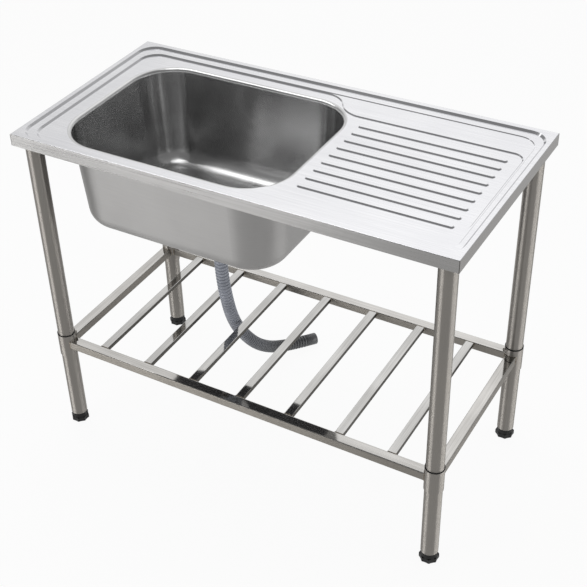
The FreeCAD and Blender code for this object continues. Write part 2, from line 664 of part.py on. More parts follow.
def make_bracket(corner, sign_x, sign_y, turn):
    body = new_body("corner_bracket_" + corner)
    skirt = "-(dims.legInset - dims.gauge)"
    plate = new_sketch(body, body.Name + "_plate", level="dims.bracketLevel")
    polygon(plate, [
        (skirt, skirt), ("dims.bracketReach", skirt), ("dims.bracketReach", "dims.bracketCut"),
        ("dims.bracketCut", "dims.bracketReach"), (skirt, "dims.bracketReach"),
    ])
    extrude(body, "Pad", body.Name + "_sheet", plate, "dims.bracketPlate")
    upright = new_sketch(body, body.Name + "_upright", level="dims.bracketLevel")
    inner = "-(dims.legInset - dims.gauge - dims.bracketPlate)"
    polygon(upright, [
        (skirt, skirt), ("dims.bracketReach", skirt), ("dims.bracketReach", inner),
        (inner, inner), (inner, "dims.bracketReach"), (skirt, "dims.bracketReach"),
    ])
    extrude(body, "Pad", body.Name + "_flanges", upright, "dims.bracketFlange")
    ring = new_sketch(body, body.Name + "_ring", level="dims.bracketLevel")
    circle(ring, "dims.spigotRadius")
    circle(ring, "(dims.spigotRadius - dims.spigotWall)")
    extrude(body, "Pad", body.Name + "_spigot", ring, "dims.spigotLength", back=True)
    inward_cylinder(body, "Subtractive", body.Name + "_thread", "dims.screwShank",
                    "0", "dims.legRadius", "dims.screwLevel")
    at_leg(body, sign_x, sign_y, turn)
    return body


def make_leg(corner, sign_x, sign_y, turn):
    body = new_body("leg_" + corner)
    ring = new_sketch(body, body.Name + "_ring", level="dims.legFoot")
    circle(ring, "dims.legRadius")
    circle(ring, "(dims.legRadius - dims.legWall)")
    extrude(body, "Pad", body.Name + "_tube", ring, "dims.bracketLevel - dims.legFoot")
    inward_cylinder(body, "Subtractive", body.Name + "_hole", "dims.screwShank + dims.slideGap",
                    "0", "dims.legRadius + dims.legWall", "dims.screwLevel")
    at_leg(body, sign_x, sign_y, turn)
    return body


def make_leg_screws():
    body = new_body("leg_screw")
    inward_cylinder(body, "Additive", "leg_screw_shank", "dims.screwShank",
                    "dims.legRadius - dims.screwReach", "dims.screwReach", "dims.screwLevel")
    inward_cylinder(body, "Additive", "leg_screw_head", "dims.screwHead",
                    "dims.legRadius", "dims.screwHeadHigh", "dims.screwLevel")
    at_leg(body, -1, -1)
    return four_corners("leg_screws", body)


def make_insert(corner, sign_x, sign_y, turn):
    body = new_body("foot_insert_" + corner)
    turn_profile(body, body.Name + "_turned", [
        ("dims.plugBore", "dims.collarLow"), ("dims.collarTaper", "dims.collarLow"),
        ("dims.legRadius", "dims.legFoot"), ("dims.plugRadius", "dims.legFoot"),
        ("dims.plugRadius", "dims.plugTop"), ("dims.plugBore", "dims.plugTop"),
    ])
    at_leg(body, sign_x, sign_y, turn)
    return body


def make_foot(corner, sign_x, sign_y, turn):
    body = new_body("foot_" + corner)
    turn_profile(body, body.Name + "_puck", [
        ("0", "0"), ("dims.footRadius - dims.footEdge", "0"), ("dims.footRadius", "dims.footEdge"),
        ("dims.footRadius", "dims.footBase - dims.footEdge"),
        ("dims.footRadius - dims.footEdge", "dims.footBase"), ("0", "dims.footBase"),
    ])
    hollow = new_sketch(body, body.Name + "_hollow", level="dims.footBase")
    circle(hollow, "dims.scallopRadius",
           "(dims.footRadius + dims.scallopRadius - dims.scallopDepth)", "0")
    scallop = extrude(body, "Pocket", body.Name + "_scallop", hollow, "dims.footBase")
    scallops = body.newObject("PartDesign::PolarPattern", body.Name + "_scallops")
    scallops.Originals = [scallop]
    scallops.Axis = (origin_plane(body, "Z_Axis"), [""])
    scallops.Angle = 360
    bind(scallops, "Occurrences", "dims.footLobes")
    body.Tip = scallops
    turn_profile(body, body.Name + "_neck", [
        ("0", "dims.footBase"), ("dims.footWaist", "dims.footBase"),
        ("dims.collarTaper", "dims.collarLow"), ("dims.stemRadius", "dims.collarLow"),
        ("dims.stemRadius", "dims.stemTop"), ("0", "dims.stemTop"),
    ])
    at_leg(body, sign_x, sign_y, turn)
    return body


def make_stiffener():
    body = new_body("drainer_stiffener")
    half = "(dims.stiffenerWidth / 2)"
    web = "(dims.stiffenerWeb / 2)"
    inside = "(dims.stiffenerWeb / 2 - dims.stiffenerGauge)"
    section = new_sketch(body, "stiffener_section", "XZ_Plane")
    polygon(section, [
        ("-" + half, "0"), ("-" + inside, "0"),
        ("-" + inside, "(dims.stiffenerGauge - dims.stiffenerHigh)"),
        (inside, "(dims.stiffenerGauge - dims.stiffenerHigh)"), (inside, "0"), (half, "0"),
        (half, "-dims.stiffenerGauge"), (web, "-dims.stiffenerGauge"),
        (web, "-dims.stiffenerHigh"), ("-" + web, "-dims.stiffenerHigh"),
        ("-" + web, "-dims.stiffenerGauge"), ("-" + half, "-dims.stiffenerGauge"),
    ])
    extrude(body, "Pad", "stiffener_channel", section, "dims.stiffenerLength", both=True)
    place(body, "dims.stiffenerX", "dims.stiffenerMiddle", DECK + " - dims.gauge")
    return body


fixed = [worktop, sink_bowl, make_stiffener()]
feet = []
for corner in CORNERS:
    fixed.append(make_bracket(*corner))
    fixed.append(make_leg(*corner))
    fixed.append(make_insert(*corner))
    feet.append(make_foot(*corner))
fixed.append(make_leg_screws())


# ---------------------------------------------------------------- shelf

BORE = "(dims.legRadius + dims.slideGap)"
SLEEVE = "(dims.legRadius + dims.slideGap + dims.sleeveWall)"


def bar(name, wide, high, bend, wall, length, along_x):
    """A hollow rounded bar, its top at height zero, centred on its own middle."""
    body = new_body(name)
    section = new_sketch(body, name + "_section", "YZ_Plane" if along_x else "XZ_Plane")
    half = "(%s / 2)" % wide
    rounded_rectangle(section, "-" + half, half, "-" + high, "0", bend)
    inner = "(%s / 2 - %s)" % (wide, wall)
    rounded_rectangle(section, "-" + inner, inner, "(%s - %s)" % (wall, high), "-" + wall,
                      "(%s - %s)" % (bend, wall))
    extrude(body, "Pad", name + "_bar", section, length, both=True)
    return body


def make_rail(name, along_x, sign):
    reach = LEG_X if along_x else LEG_Y
    body = bar(name, "dims.railWide", "dims.railHigh", "dims.railRound", "dims.railWall",
               "2 * " + reach, along_x)
    ends = new_sketch(body, name + "_ends")
    for side in ("-", ""):
        if along_x:
            circle(ends, SLEEVE, side + reach, "0")
        else:
            circle(ends, SLEEVE, "0", side + reach)
    cut_through(body, name + "_coping", ends)
    across = LEG_Y if along_x else LEG_X
    where = across if sign > 0 else "-" + across
    if along_x:
        place(body, "0", where, "dims.shelfTop")
    else:
        place(body, where, "0", "dims.shelfTop")
    return body


def make_slat(number):
    length = "2 * %s - dims.railWide" % LEG_Y
    body = bar("shelf_slat_%d" % number, "dims.slatWide", "dims.slatHigh", "dims.slatRound",
               "dims.slatWall", length, False)
    place(body, "(%d - (dims.slatCount + 1) / 2) * dims.slatPitch" % number, "0", "dims.shelfTop")
    return body


def make_sleeve(corner, sign_x, sign_y, turn):
    body = new_body("shelf_sleeve_" + corner)
    ring = new_sketch(body, body.Name + "_ring", level="dims.sleeveLow")
    circle(ring, SLEEVE)
    extrude(body, "Pad", body.Name + "_tube", ring, "dims.sleeveHigh - dims.sleeveLow")
    inward_cylinder(body, "Additive", body.Name + "_boss", "dims.bossRadius",
                    "dims.legRadius", "dims.bossReach - dims.legRadius", "dims.grubLevel")
    bore = new_sketch(body, body.Name + "_bore")
    circle(bore, BORE)
    cut_through(body, body.Name + "_inside", bore)
    inward_cylinder(body, "Subtractive", body.Name + "_thread", "dims.grubRadius",
                    "0", "dims.bossReach + dims.sleeveWall", "dims.grubLevel")
    at_leg(body, sign_x, sign_y, turn)
    return body


def make_sleeve_rings():
    body = new_body("sleeve_ring")
    ring = new_sketch(body, "sleeve_ring_edge", level="dims.sleeveHigh")
    circle(ring, SLEEVE)
    circle(ring, BORE)
    extrude(body, "Pad", "sleeve_ring_band", ring, "dims.ringHigh")
    at_leg(body, -1, -1)
    return four_corners("sleeve_rings", body)


def make_grub_screws():
    body = new_body("grub_screw")
    inward_cylinder(body, "Additive", "grub_screw_shank", "dims.grubRadius", BORE,
                    "dims.grubLength", "dims.grubLevel")
    socket = body.newObject("PartDesign::SubtractivePrism", "grub_screw_socket")
    socket.Polygon = 6
    bind(socket, "Circumradius", "dims.grubHex")
    bind(socket, "Height", "dims.grubHexDeep")
    socket.AttachmentSupport = [(origin_plane(body, "XY_Plane"), "")]
    socket.MapMode = "FlatFace"
    heading = FreeCAD.Rotation(FreeCAD.Vector(0, 0, 1), FreeCAD.Vector(1, 1, 0))
    socket.AttachmentOffset = FreeCAD.Placement(FreeCAD.Vector(), heading)
    mouth = "(%s + dims.grubLength - dims.grubHexDeep)" % BORE
    bind(socket, "AttachmentOffset.Base.x", mouth + " * cos(45)")
    bind(socket, "AttachmentOffset.Base.y", mouth + " * sin(45)")
    bind(socket, "AttachmentOffset.Base.z", "dims.grubLevel")
    at_leg(body, -1, -1)
    return four_corners("sleeve_grub_screws", body)


shelf = [
    make_rail("shelf_front_rail", True, -1),
    make_rail("shelf_back_rail", True, 1),
    make_rail("shelf_left_rail", False, -1),
    make_rail("shelf_right_rail", False, 1),
]
for number in range(1, int(worth("dims.slatCount")) + 1):
    shelf.append(make_slat(number))
for corner in CORNERS:
    shelf.append(make_sleeve(*corner))
shelf.append(make_sleeve_rings())
shelf.append(make_grub_screws())


# ---------------------------------------------------------------- drain

DISH = "(dims.bowlFloor - dims.dishDrop)"


def turned(name, points):
    """A piece turned about the drain's axis, from a closed profile of radius and level."""
    body = new_body(name)
    turn_profile(body, name + "_turned", points)
    place(body, "dims.drainX", "dims.drainY")
    return body


def washer(name, inner, outer, low, high):
    return turned(name, [(inner, low), (outer, low), (outer, high), (inner, high)])


def make_locknut():
    body = washer("drain_locknut", "(dims.cupRadius + dims.threadGap)", "dims.locknutRadius",
                  DISH + " - dims.gauge - dims.sealHigh - dims.locknutHigh",
                  DISH + " - dims.gauge - dims.sealHigh")
    grip = new_sketch(body, "locknut_lug", level=DISH + " - dims.gauge - dims.sealHigh")
    rectangle(grip, "dims.locknutRadius - dims.lugRoot", "dims.locknutRadius + dims.lugReach",
              "-dims.lugWide / 2", "dims.lugWide / 2")
    lug = extrude(body, "Pad", "locknut_lugs_one", grip, "dims.locknutHigh", back=True)
    lugs = body.newObject("PartDesign::PolarPattern", "locknut_lugs")
    lugs.Originals = [lug]
    lugs.Axis = (origin_plane(body, "Z_Axis"), [""])
    lugs.Angle = 360
    bind(lugs, "Occurrences", "dims.lugCount")
    body.Tip = lugs
    return body


def make_basket():
    sheet_low = "(dims.basketFloor + dims.basketWall)"
    body = turned("strainer_basket", [
        ("0", "dims.basketFloor"), ("dims.basketRadius", "dims.basketFloor"),
        ("dims.basketRim", "dims.basketTop"), ("dims.basketRim - dims.basketWall", "dims.basketTop"),
        ("dims.basketRadius - dims.basketWall", sheet_low), ("dims.knobNeck", sheet_low),
        ("dims.knobNeck", "dims.knobLow"), ("dims.knobRadius", "dims.knobLow"),
        ("dims.knobRadius", "dims.basketTop"), ("0", "dims.basketTop"),
    ])
    mouth = new_sketch(body, "basket_slot_edge", level=sheet_low)
    rectangle(mouth, "dims.slotInner", "dims.slotOuter", "-dims.slotWide / 2", "dims.slotWide / 2")
    slit = extrude(body, "Pocket", "basket_slot", mouth, "dims.basketWall")
    slits = body.newObject("PartDesign::PolarPattern", "basket_slots")
    slits.Originals = [slit]
    slits.Axis = (origin_plane(body, "Z_Axis"), [""])
    slits.Angle = 360
    bind(slits, "Occurrences", "dims.slotCount")
    body.Tip = slits
    return body


def make_slip_nut():
    body = turned("slip_nut", [
        ("dims.adaptorBody + dims.slideGap", "dims.nutLow"), ("dims.nutRadius", "dims.nutLow"),
        ("dims.nutRadius", "dims.nutTop"), ("dims.outletRadius + dims.threadGap", "dims.nutTop"),
        ("dims.outletRadius + dims.threadGap", "dims.flangeLow"),
        ("dims.adaptorBody + dims.slideGap", "dims.flangeLow"),
    ])
    grip = new_sketch(body, "slip_nut_wing", level="dims.nutLow")
    rectangle(grip, "dims.nutRadius - dims.lugRoot", "dims.nutRadius + dims.lugReach",
              "-dims.lugWide / 2", "dims.lugWide / 2")
    wing = extrude(body, "Pad", "slip_nut_one_wing", grip, "dims.nutTop - dims.nutLow")
    wings = body.newObject("PartDesign::PolarPattern", "slip_nut_wings")
    wings.Originals = [wing]
    wings.Axis = (origin_plane(body, "Z_Axis"), [""])
    wings.Angle = 360
    bind(wings, "Occurrences", "dims.lugCount")
    body.Tip = wings
    return body


def make_clamp():
    body = washer("hose_clamp", "dims.cuffRadius", "dims.cuffRadius + dims.clampWall",
                  "dims.clampLow", "dims.clampLow + dims.clampHigh")
    housing = new_sketch(body, "clamp_worm", level="dims.clampLow")
    rectangle(housing, "-dims.wormLong / 2", "dims.wormLong / 2",
              "-(dims.cuffRadius + dims.clampWall + dims.wormDeep)",
              "-(dims.cuffRadius + dims.clampWall / 2)")
    extrude(body, "Pad", "clamp_housing", housing, "dims.clampHigh")
    return body


drain = [
    washer("drain_seal_upper", "(dims.drainHole + dims.sealInset)",
           "(dims.flangeRadius - dims.sealInset)", DISH, DISH + " + dims.washerHigh"),
    turned("drain_cup", [
        ("dims.outletBore", "dims.outletLow"), ("dims.outletRadius", "dims.outletLow"),
        ("dims.outletRadius", "dims.cupFloor - dims.cupWall"),
        ("dims.cupRadius", "dims.cupFloor - dims.cupWall"),
        ("dims.cupRadius", DISH + " + dims.washerHigh"),
        ("dims.flangeRadius", DISH + " + dims.washerHigh"),
        ("dims.flangeRadius", DISH + " + dims.washerHigh + dims.cupWall"),
        ("dims.cupRadius - dims.cupWall", DISH + " + dims.washerHigh + dims.cupWall"),
        ("dims.cupRadius - dims.cupWall", "dims.cupFloor"), ("dims.outletBore", "dims.cupFloor"),
    ]),
    washer("drain_seal_lower", "(dims.cupRadius + dims.threadGap)",
           "(dims.locknutRadius - dims.sealInset)", DISH + " - dims.gauge - dims.sealHigh",
           DISH + " - dims.gauge"),
    make_locknut(),
    washer("outlet_washer", "dims.outletBore", "dims.outletRadius",
           "dims.outletLow - dims.washerHigh", "dims.outletLow"),
    turned("hose_adaptor", [
        ("dims.spigotBore", "dims.spigotEnd"), ("dims.hoseSpigot", "dims.spigotEnd"),
        ("dims.hoseSpigot", "dims.hoseTop"), ("dims.adaptorBody", "dims.hoseTop"),
        ("dims.adaptorBody", "dims.flangeLow"), ("dims.outletRadius", "dims.flangeLow"),
        ("dims.outletRadius", "dims.outletLow - dims.washerHigh"),
        ("dims.spigotBore", "dims.outletLow - dims.washerHigh"),
    ]),
    make_slip_nut(),
    make_clamp(),
]
strainer = [
    make_basket(),
    turned("strainer_stopper", [
        ("0", "dims.cupFloor"), ("dims.stopperRadius", "dims.cupFloor"),
        ("dims.stopperNeck", "dims.basketFloor"), ("0", "dims.basketFloor"),
    ]),
]


# ---------------------------------------------------------------- hose

# Points of the hose's route from the drain to its loose end on the floor behind the unit.
HOSE_ROUTE = [
    (-165, 0, 470), (-165, 0, 405), (-158, 2, 332), (-158, 20, 262), (-161, 55, 195),
    (-152, 100, 128), (-148, 150, 80), (-146, 203, 42), (-126, 258, 20), (-92, 308, 15.5),
]
RUN_SHARE = 0.45


def route_edges(points):
    """Straight runs joined by tangent arcs, each arc as large as its two runs allow."""
    spots = [FreeCAD.Vector(*point) for point in points]
    edges = []
    start = spots[0]
    for before, here, after in zip(spots, spots[1:], spots[2:]):
        inward = (here - before).normalize()
        outward = (after - here).normalize()
        shorter = min((here - before).Length, (after - here).Length)
        turn = inward.getAngle(outward)
        setback = RUN_SHARE * shorter
        radius = setback / math.tan(turn / 2)
        middle = (outward - inward).normalize() * (radius / math.cos(turn / 2))
        centre = here + middle
        nearest = centre - middle * (math.cos(turn / 2))
        first = here - inward * setback
        last = here + outward * setback
        print("turn %5.1f degrees, radius %6.1f mm" % (math.degrees(turn), radius))
        edges.append(Part.LineSegment(start, first).toShape())
        edges.append(Part.Arc(first, nearest, last).toShape())
        start = last
    edges.append(Part.LineSegment(start, spots[-1]).toShape())
    return edges


def along(edges, distance):
    """Point and heading at a distance along the route."""
    for edge in edges:
        if distance <= edge.Length or edge is edges[-1]:
            spot = edge.getParameterByLength(min(distance, edge.Length))
            return edge.valueAt(spot), edge.tangentAt(spot)
        distance -= edge.Length


def ring_at(edges, distance, radius):
    """A circle across the route whose X axis keeps to the unit's own."""
    spot, heading = along(edges, distance)
    ring = Part.makeCircle(radius)
    steady = FreeCAD.Rotation(FreeCAD.Vector(1, 0, 0), FreeCAD.Vector(), heading, "ZXY")
    ring.Placement = FreeCAD.Placement(spot, steady)
    return Part.Wire(ring)


def make_hose():
    route = Part.Wire(route_edges(HOSE_ROUTE))
    edges = route.OrderedEdges
    total = route.Length
    cuff, root, crest = worth("dims.cuffRadius"), worth("dims.ribRoot"), worth("dims.ribCrest")
    plain, pitch, bore = worth("dims.cuffLength"), worth("dims.hosePitch"), worth("dims.hoseBore")
    count = int((total - 2 * plain) / pitch)
    pitch = (total - 2 * plain) / count
    foot, shoulder = worth("dims.ribFoot"), worth("dims.ribShoulder")
    profile = [(foot, root), (shoulder, crest), (1 - shoulder, crest), (1 - foot, root)]
    stations = [(0, cuff), (plain, cuff)]
    for rib in range(count):
        stations += [(plain + (rib + share) * pitch, radius) for share, radius in profile]
    stations += [(total - plain, cuff), (total, cuff)]
    outside = Part.makeLoft([ring_at(edges, *station) for station in stations], True, True)
    steps = [0, plain]
    steps += [plain + rib * pitch for rib in range(2, count, 2)]
    steps += [total - plain, total]
    inside = Part.makeLoft([ring_at(edges, step, bore) for step in steps], True, True)
    hose = doc.addObject("Part::Feature", "drain_hose")
    hose.Shape = outside.cut(inside)
    hose.Label = "drain_hose"
    print("hose: %d ribs, pitch %.2f mm, length %.1f mm" % (count, pitch, total))
    # A pitch is a stretch of root, a stretch of crest and two slopes between them.
    slopes = 2 * (shoulder - foot) * (root ** 2 + root * crest + crest ** 2) / 3
    ribbed = 2 * foot * root ** 2 + (1 - 2 * shoulder) * crest ** 2 + slopes - bore ** 2
    expected = math.pi * ((total - 2 * plain) * ribbed + 2 * plain * (cuff ** 2 - bore ** 2))
    print("hose volume %.0f, section times length %.0f" % (hose.Shape.Volume, expected))
    return hose


drain.append(make_hose())


# ---------------------------------------------------------------- check and write

doc.recompute()
for thing in doc.Objects:
    if "Invalid" in thing.State or "Error" in thing.State:
        raise SystemExit("%s is in error: %s" % (thing.Name, thing.State))
for part in fixed + feet + shelf + drain + strainer:
    shape = part.Shape
    if shape.isNull() or not shape.isValid() or not shape.Solids:
        raise SystemExit("%s has no sound solid" % part.Label)
    box = shape.BoundBox
    print("%-30s %2d solid, %9.0f mm3, x %.1f to %.1f, y %.1f to %.1f, z %.1f to %.1f" % (
        part.Label, len(shape.Solids), shape.Volume, box.XMin, box.XMax, box.YMin, box.YMax,
        box.ZMin, box.ZMax))
    shape.exportStep("parts/%s.step" % part.Label)
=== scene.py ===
import math

import bmesh
import bpy
from mathutils import Euler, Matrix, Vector


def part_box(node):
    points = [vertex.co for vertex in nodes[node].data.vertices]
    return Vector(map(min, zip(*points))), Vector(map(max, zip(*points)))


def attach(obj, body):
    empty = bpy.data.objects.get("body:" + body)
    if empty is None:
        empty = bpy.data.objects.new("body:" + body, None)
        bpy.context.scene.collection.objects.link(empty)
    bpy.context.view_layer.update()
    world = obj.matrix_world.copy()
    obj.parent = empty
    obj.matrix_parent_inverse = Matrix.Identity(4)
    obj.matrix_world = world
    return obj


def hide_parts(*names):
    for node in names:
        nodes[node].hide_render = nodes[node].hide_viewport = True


# Kitchen sink unit: dresses the CAD solids, makes the drain hose and the shelf's weld beads,
# and sets up the camera and the studio.
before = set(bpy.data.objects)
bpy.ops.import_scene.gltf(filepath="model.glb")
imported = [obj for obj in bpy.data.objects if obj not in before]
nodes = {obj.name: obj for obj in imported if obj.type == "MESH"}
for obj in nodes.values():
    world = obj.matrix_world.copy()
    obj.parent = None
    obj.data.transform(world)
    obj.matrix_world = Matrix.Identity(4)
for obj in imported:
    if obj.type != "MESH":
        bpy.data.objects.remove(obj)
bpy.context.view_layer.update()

# The photograph's viewpoint, in metres, degrees and millimetres of lens.  More sideways shift
# would fit the photograph a little better, and cut the worktop off in the view from above.
cameraSettings = {
    "place": (1.0953, -1.8424, 1.9814),
    "turn": (53.1459, 2.5791, 31.0678),
    "lens": 73.1755,
    "sensor": 36,
    "shift": (0.08, 0.0141),
    "clip": (0.05, 50),
}


def placeCamera(settings):
    data = bpy.data.cameras.new("photoCamera")
    data.sensor_width = settings["sensor"]
    data.lens = settings["lens"]
    data.shift_x, data.shift_y = settings["shift"]
    data.clip_start, data.clip_end = settings["clip"]
    camera = bpy.data.objects.new("photoCamera", data)
    camera.location = settings["place"]
    camera.rotation_euler = Euler([math.radians(angle) for angle in settings["turn"]])
    bpy.context.scene.collection.objects.link(camera)
    bpy.context.scene.camera = camera


placeCamera(cameraSettings)
print("camera placed")


# sRGB hex to a linear colour with an alpha of 1.
def toLinear(code):
    parts = [int(code[i:i + 2], 16) / 255 for i in (1, 3, 5)]
    return tuple(c / 12.92 if c <= 0.04045 else ((c + 0.055) / 1.055) ** 2.4 for c in parts) + (1.0,)


# Adds a node; a setting is a socket's value, a ramp's stops or one of the node's own values.
def addNode(tree, kind, settings=None, links=None):
    node = tree.nodes.new(kind)
    for name, value in (settings or {}).items():
        if name == "stops":
            while len(node.color_ramp.elements) < len(value):
                node.color_ramp.elements.new(1.0)
            for element, (spot, colour) in zip(node.color_ramp.elements, value):
                element.position = spot
                element.color = colour
        elif isinstance(name, int) or name in node.inputs:
            node.inputs[name].default_value = value
        else:
            setattr(node, name, value)
    for name, source in (links or {}).items():
        tree.links.new(source, node.inputs[name])
    return node


# A material with one Principled shader, which holds every value that is the same all over.
def newMaterial(name, settings):
    material = bpy.data.materials.new(name)
    material.use_nodes = True
    tree = material.node_tree
    tree.nodes.clear()
    shader = addNode(tree, "ShaderNodeBsdfPrincipled", settings)
    addNode(tree, "ShaderNodeOutputMaterial", links={"Surface": shader.outputs[0]})
    return material, tree, shader


# Lays one more shader over the surface where a mask is 1.
def coverWhere(tree, cover, mask):
    surface = next(node for node in tree.nodes if node.type == "OUTPUT_MATERIAL").inputs["Surface"]
    both = addNode(tree, "ShaderNodeMixShader", links={
        0: mask, 1: surface.links[0].from_socket, 2: cover.outputs[0]})
    tree.links.new(both.outputs[0], surface)


# What every steel finish shares.  The grit lines and the smears are added together, and the
# patchier a finish is, the more of the sum is smears.
steelGrain = {
    "gritDetail": 3.0,
    "gritContrast": 0.6,
    "smearDetail": 2.0,
    "patchy": 0.6,
    "sum": 1.6,
    "dullAt": 0.55,
    "brightAt": 1.0,
    "roughestAt": 1.05,
    "gritDepth": 0.0002,
}


# Grit lines of a belt or a wheel, stretched along "line" in metres, with wide faint smears,
# so many to the metre.  Real grit lines are 0.05 to 0.1 mm apart, too fine to show, so they
# are drawn coarser.
def brushSteel(tree, shader, look):
    grain = steelGrain
    place = addNode(tree, "ShaderNodeTexCoord").outputs["Object"]
    linesPerMetre = [1 / size for size in look["line"]]
    stretched = addNode(tree, "ShaderNodeMapping", {"Scale": linesPerMetre}, {"Vector": place})
    grit = addNode(tree, "ShaderNodeTexNoise", {
        "Scale": 1.0, "Detail": grain["gritDetail"], "Roughness": grain["gritContrast"]},
        {"Vector": stretched.outputs[0]})
    smear = addNode(tree, "ShaderNodeTexNoise", {
        "Scale": look["smears"], "Detail": grain["smearDetail"]}, {"Vector": place})
    patchy = look.get("patchy", grain["patchy"])
    fine = addNode(tree, "ShaderNodeMath", {
        "operation": "MULTIPLY", 1: grain["sum"] - patchy}, {0: grit.outputs[0]})
    blend = addNode(tree, "ShaderNodeMath", {"operation": "MULTIPLY_ADD", 1: patchy},
                    {0: smear.outputs[0], 2: fine.outputs[0]})
    tone = addNode(tree, "ShaderNodeValToRGB", {"stops": [
        (grain["dullAt"], toLinear(look["dull"])), (grain["brightAt"], toLinear(look["bright"]))]},
        {"Fac": blend.outputs[0]})
    low, high = look["rough"]
    rough = addNode(tree, "ShaderNodeMapRange", {
        "From Min": grain["dullAt"], "From Max": grain["roughestAt"], "To Min": low, "To Max": high},
        {"Value": blend.outputs[0]})
    bump = addNode(tree, "ShaderNodeBump", {
        "Strength": look["bump"], "Distance": grain["gritDepth"]}, {"Height": grit.outputs[0]})
    tree.links.new(tone.outputs[0], shader.inputs["Base Color"])
    tree.links.new(rough.outputs[0], shader.inputs["Roughness"])
    tree.links.new(bump.outputs[0], shader.inputs["Normal"])
    return place


# Spreads the gloss along one direction, square to the way the piece was brushed.
def spreadGloss(tree, shader, direction):
    along = addNode(tree, "ShaderNodeCombineXYZ", dict(zip("XYZ", direction)))
    tree.links.new(along.outputs[0], shader.inputs["Tangent"])


# How far a surface faces along an axis, from -1 to 1.
def facingAlong(tree, axis):
    facing = addNode(tree, "ShaderNodeNewGeometry").outputs["True Normal"]
    return addNode(tree, "ShaderNodeSeparateXYZ", links={"Vector": facing}).outputs[axis]


# A noise texture's values lie mostly between these.
noiseLow, noiseHigh = 0.35, 0.65

# Painted shade on the undersides: a charcoal, pebbly coat that stands in for the shade under the
# worktop and the bowl.  The polished shelf mirrors it as its dark patches.
undersideShadeLook = {
    "light": "#4d4d50", "dark": "#3c3c3f", "rough": (0.6, 0.8), "grain": 0.003, "detail": 2.0,
    "bump": 0.4, "depth": 0.0005, "IOR": 1.45,
}


# Covers the masked faces with the dark coat: painted shade.
def paintUndersideShade(tree, place, look, mask):
    shadeCoat = addNode(tree, "ShaderNodeBsdfPrincipled", {"IOR": look["IOR"]})
    grain = addNode(tree, "ShaderNodeTexNoise", {
        "Scale": 1 / look["grain"], "Detail": look["detail"]}, {"Vector": place})
    tone = addNode(tree, "ShaderNodeValToRGB", {"stops": [
        (noiseLow, toLinear(look["dark"])), (noiseHigh, toLinear(look["light"]))]},
        {"Fac": grain.outputs[0]})
    low, high = look["rough"]
    rough = addNode(tree, "ShaderNodeMapRange", {"To Min": low, "To Max": high},
                    {"Value": grain.outputs[0]})
    bump = addNode(tree, "ShaderNodeBump", {"Strength": look["bump"], "Distance": look["depth"]},
                   {"Height": grain.outputs[0]})
    tree.links.new(tone.outputs[0], shadeCoat.inputs["Base Color"])
    tree.links.new(rough.outputs[0], shadeCoat.inputs["Roughness"])
    tree.links.new(bump.outputs[0], shadeCoat.inputs["Normal"])
    coverWhere(tree, shadeCoat, mask)


# Worktop: 304 stainless sheet, belt-brushed along its length before it was pressed, so its
# gloss is soft and spreads from front to back.  The folded skirt has a rougher gloss, and its
# colour is darker as painted shade, darkest on the short ends.
worktopLook = {
    "bright": "#dadadc", "dull": "#cdcdd0", "rough": (0.12, 0.19), "line": (0.22, 0.0022, 0.0022),
    "smears": 6.0, "bump": 0.004, "stretch": 0.2, "spread": (0, 1, 0.15),
}
shadedSkirtLook = dict(worktopLook, bright="#969594", dull="#8a8988", rough=(0.26, 0.34), stretch=0.9,
                 spread=(0, 0, 1))
shadedEndSkirtLook = dict(shadedSkirtLook, bright="#8a8886", dull="#7f7d7b", line=(0.0022, 0.22, 0.0022))
seamLook = {"colour": "#4a4846", "rough": 0.5, "wide": 0.0012}
# How far up, sideways or down a face looks where each finish starts.  The pressed walls face
# up by 0.7, so they still have the top's finish.
worktopFolds = {"skirtFrom": 0.68, "skirtWhole": 0.4, "endFrom": 0.7, "undersideFrom": -0.3}


def makeWorktopSteel(look, shadedSkirt, shadedEndSkirt, seam, folds):
    material, tree, shader = newMaterial("brushedStainlessSheet", {
        "Metallic": 1.0, "Anisotropic": look["stretch"]})
    place = brushSteel(tree, shader, look)
    spreadGloss(tree, shader, look["spread"])
    upward = facingAlong(tree, "Z")
    onSkirt = addNode(tree, "ShaderNodeMapRange", {
        "From Min": folds["skirtFrom"], "From Max": folds["skirtWhole"]}, {"Value": upward})
    sideways = addNode(tree, "ShaderNodeMath", {"operation": "ABSOLUTE"}, {0: facingAlong(tree, "X")})
    onEnd = addNode(tree, "ShaderNodeMath", {"operation": "GREATER_THAN", 1: folds["endFrom"]},
                    {0: sideways.outputs[0]})
    onEndSkirt = addNode(tree, "ShaderNodeMath", {"operation": "MULTIPLY"}, {
        0: onEnd.outputs[0], 1: onSkirt.outputs[0]})
    # The skirts' darker colours are painted shade.
    for finish, mask in ((shadedSkirt, onSkirt), (shadedEndSkirt, onEndSkirt)):
        fold = addNode(tree, "ShaderNodeBsdfPrincipled", {
            "Metallic": 1.0, "Anisotropic": finish["stretch"]})
        brushSteel(tree, fold, finish)
        spreadGloss(tree, fold, finish["spread"])
        coverWhere(tree, fold, mask.outputs[0])
    # A dark welded seam stands at each corner of the skirt.
    spot = addNode(tree, "ShaderNodeSeparateXYZ", links={"Vector": place})
    _, (endX, endY, _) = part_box("worktop")
    nearEnds = []
    for axis, end in (("X", endX), ("Y", endY)):
        away = addNode(tree, "ShaderNodeMath", {"operation": "ABSOLUTE"}, {0: spot.outputs[axis]})
        nearEnds.append(addNode(tree, "ShaderNodeMath", {
            "operation": "GREATER_THAN", 1: end - seam["wide"]}, {0: away.outputs[0]}))
    onCorner = addNode(tree, "ShaderNodeMath", {"operation": "MULTIPLY"}, {
        0: nearEnds[0].outputs[0], 1: nearEnds[1].outputs[0]})
    weld = addNode(tree, "ShaderNodeBsdfPrincipled", {
        "Metallic": 1.0, "Base Color": toLinear(seam["colour"]), "Roughness": seam["rough"]})
    coverWhere(tree, weld, onCorner.outputs[0])
    onUnderside = addNode(tree, "ShaderNodeMath", {
        "operation": "LESS_THAN", 1: folds["undersideFrom"]}, {0: upward})
    # Painted shade: the worktop's underside is covered dark.
    paintUndersideShade(tree, place, undersideShadeLook, onUnderside.outputs[0])
    return material


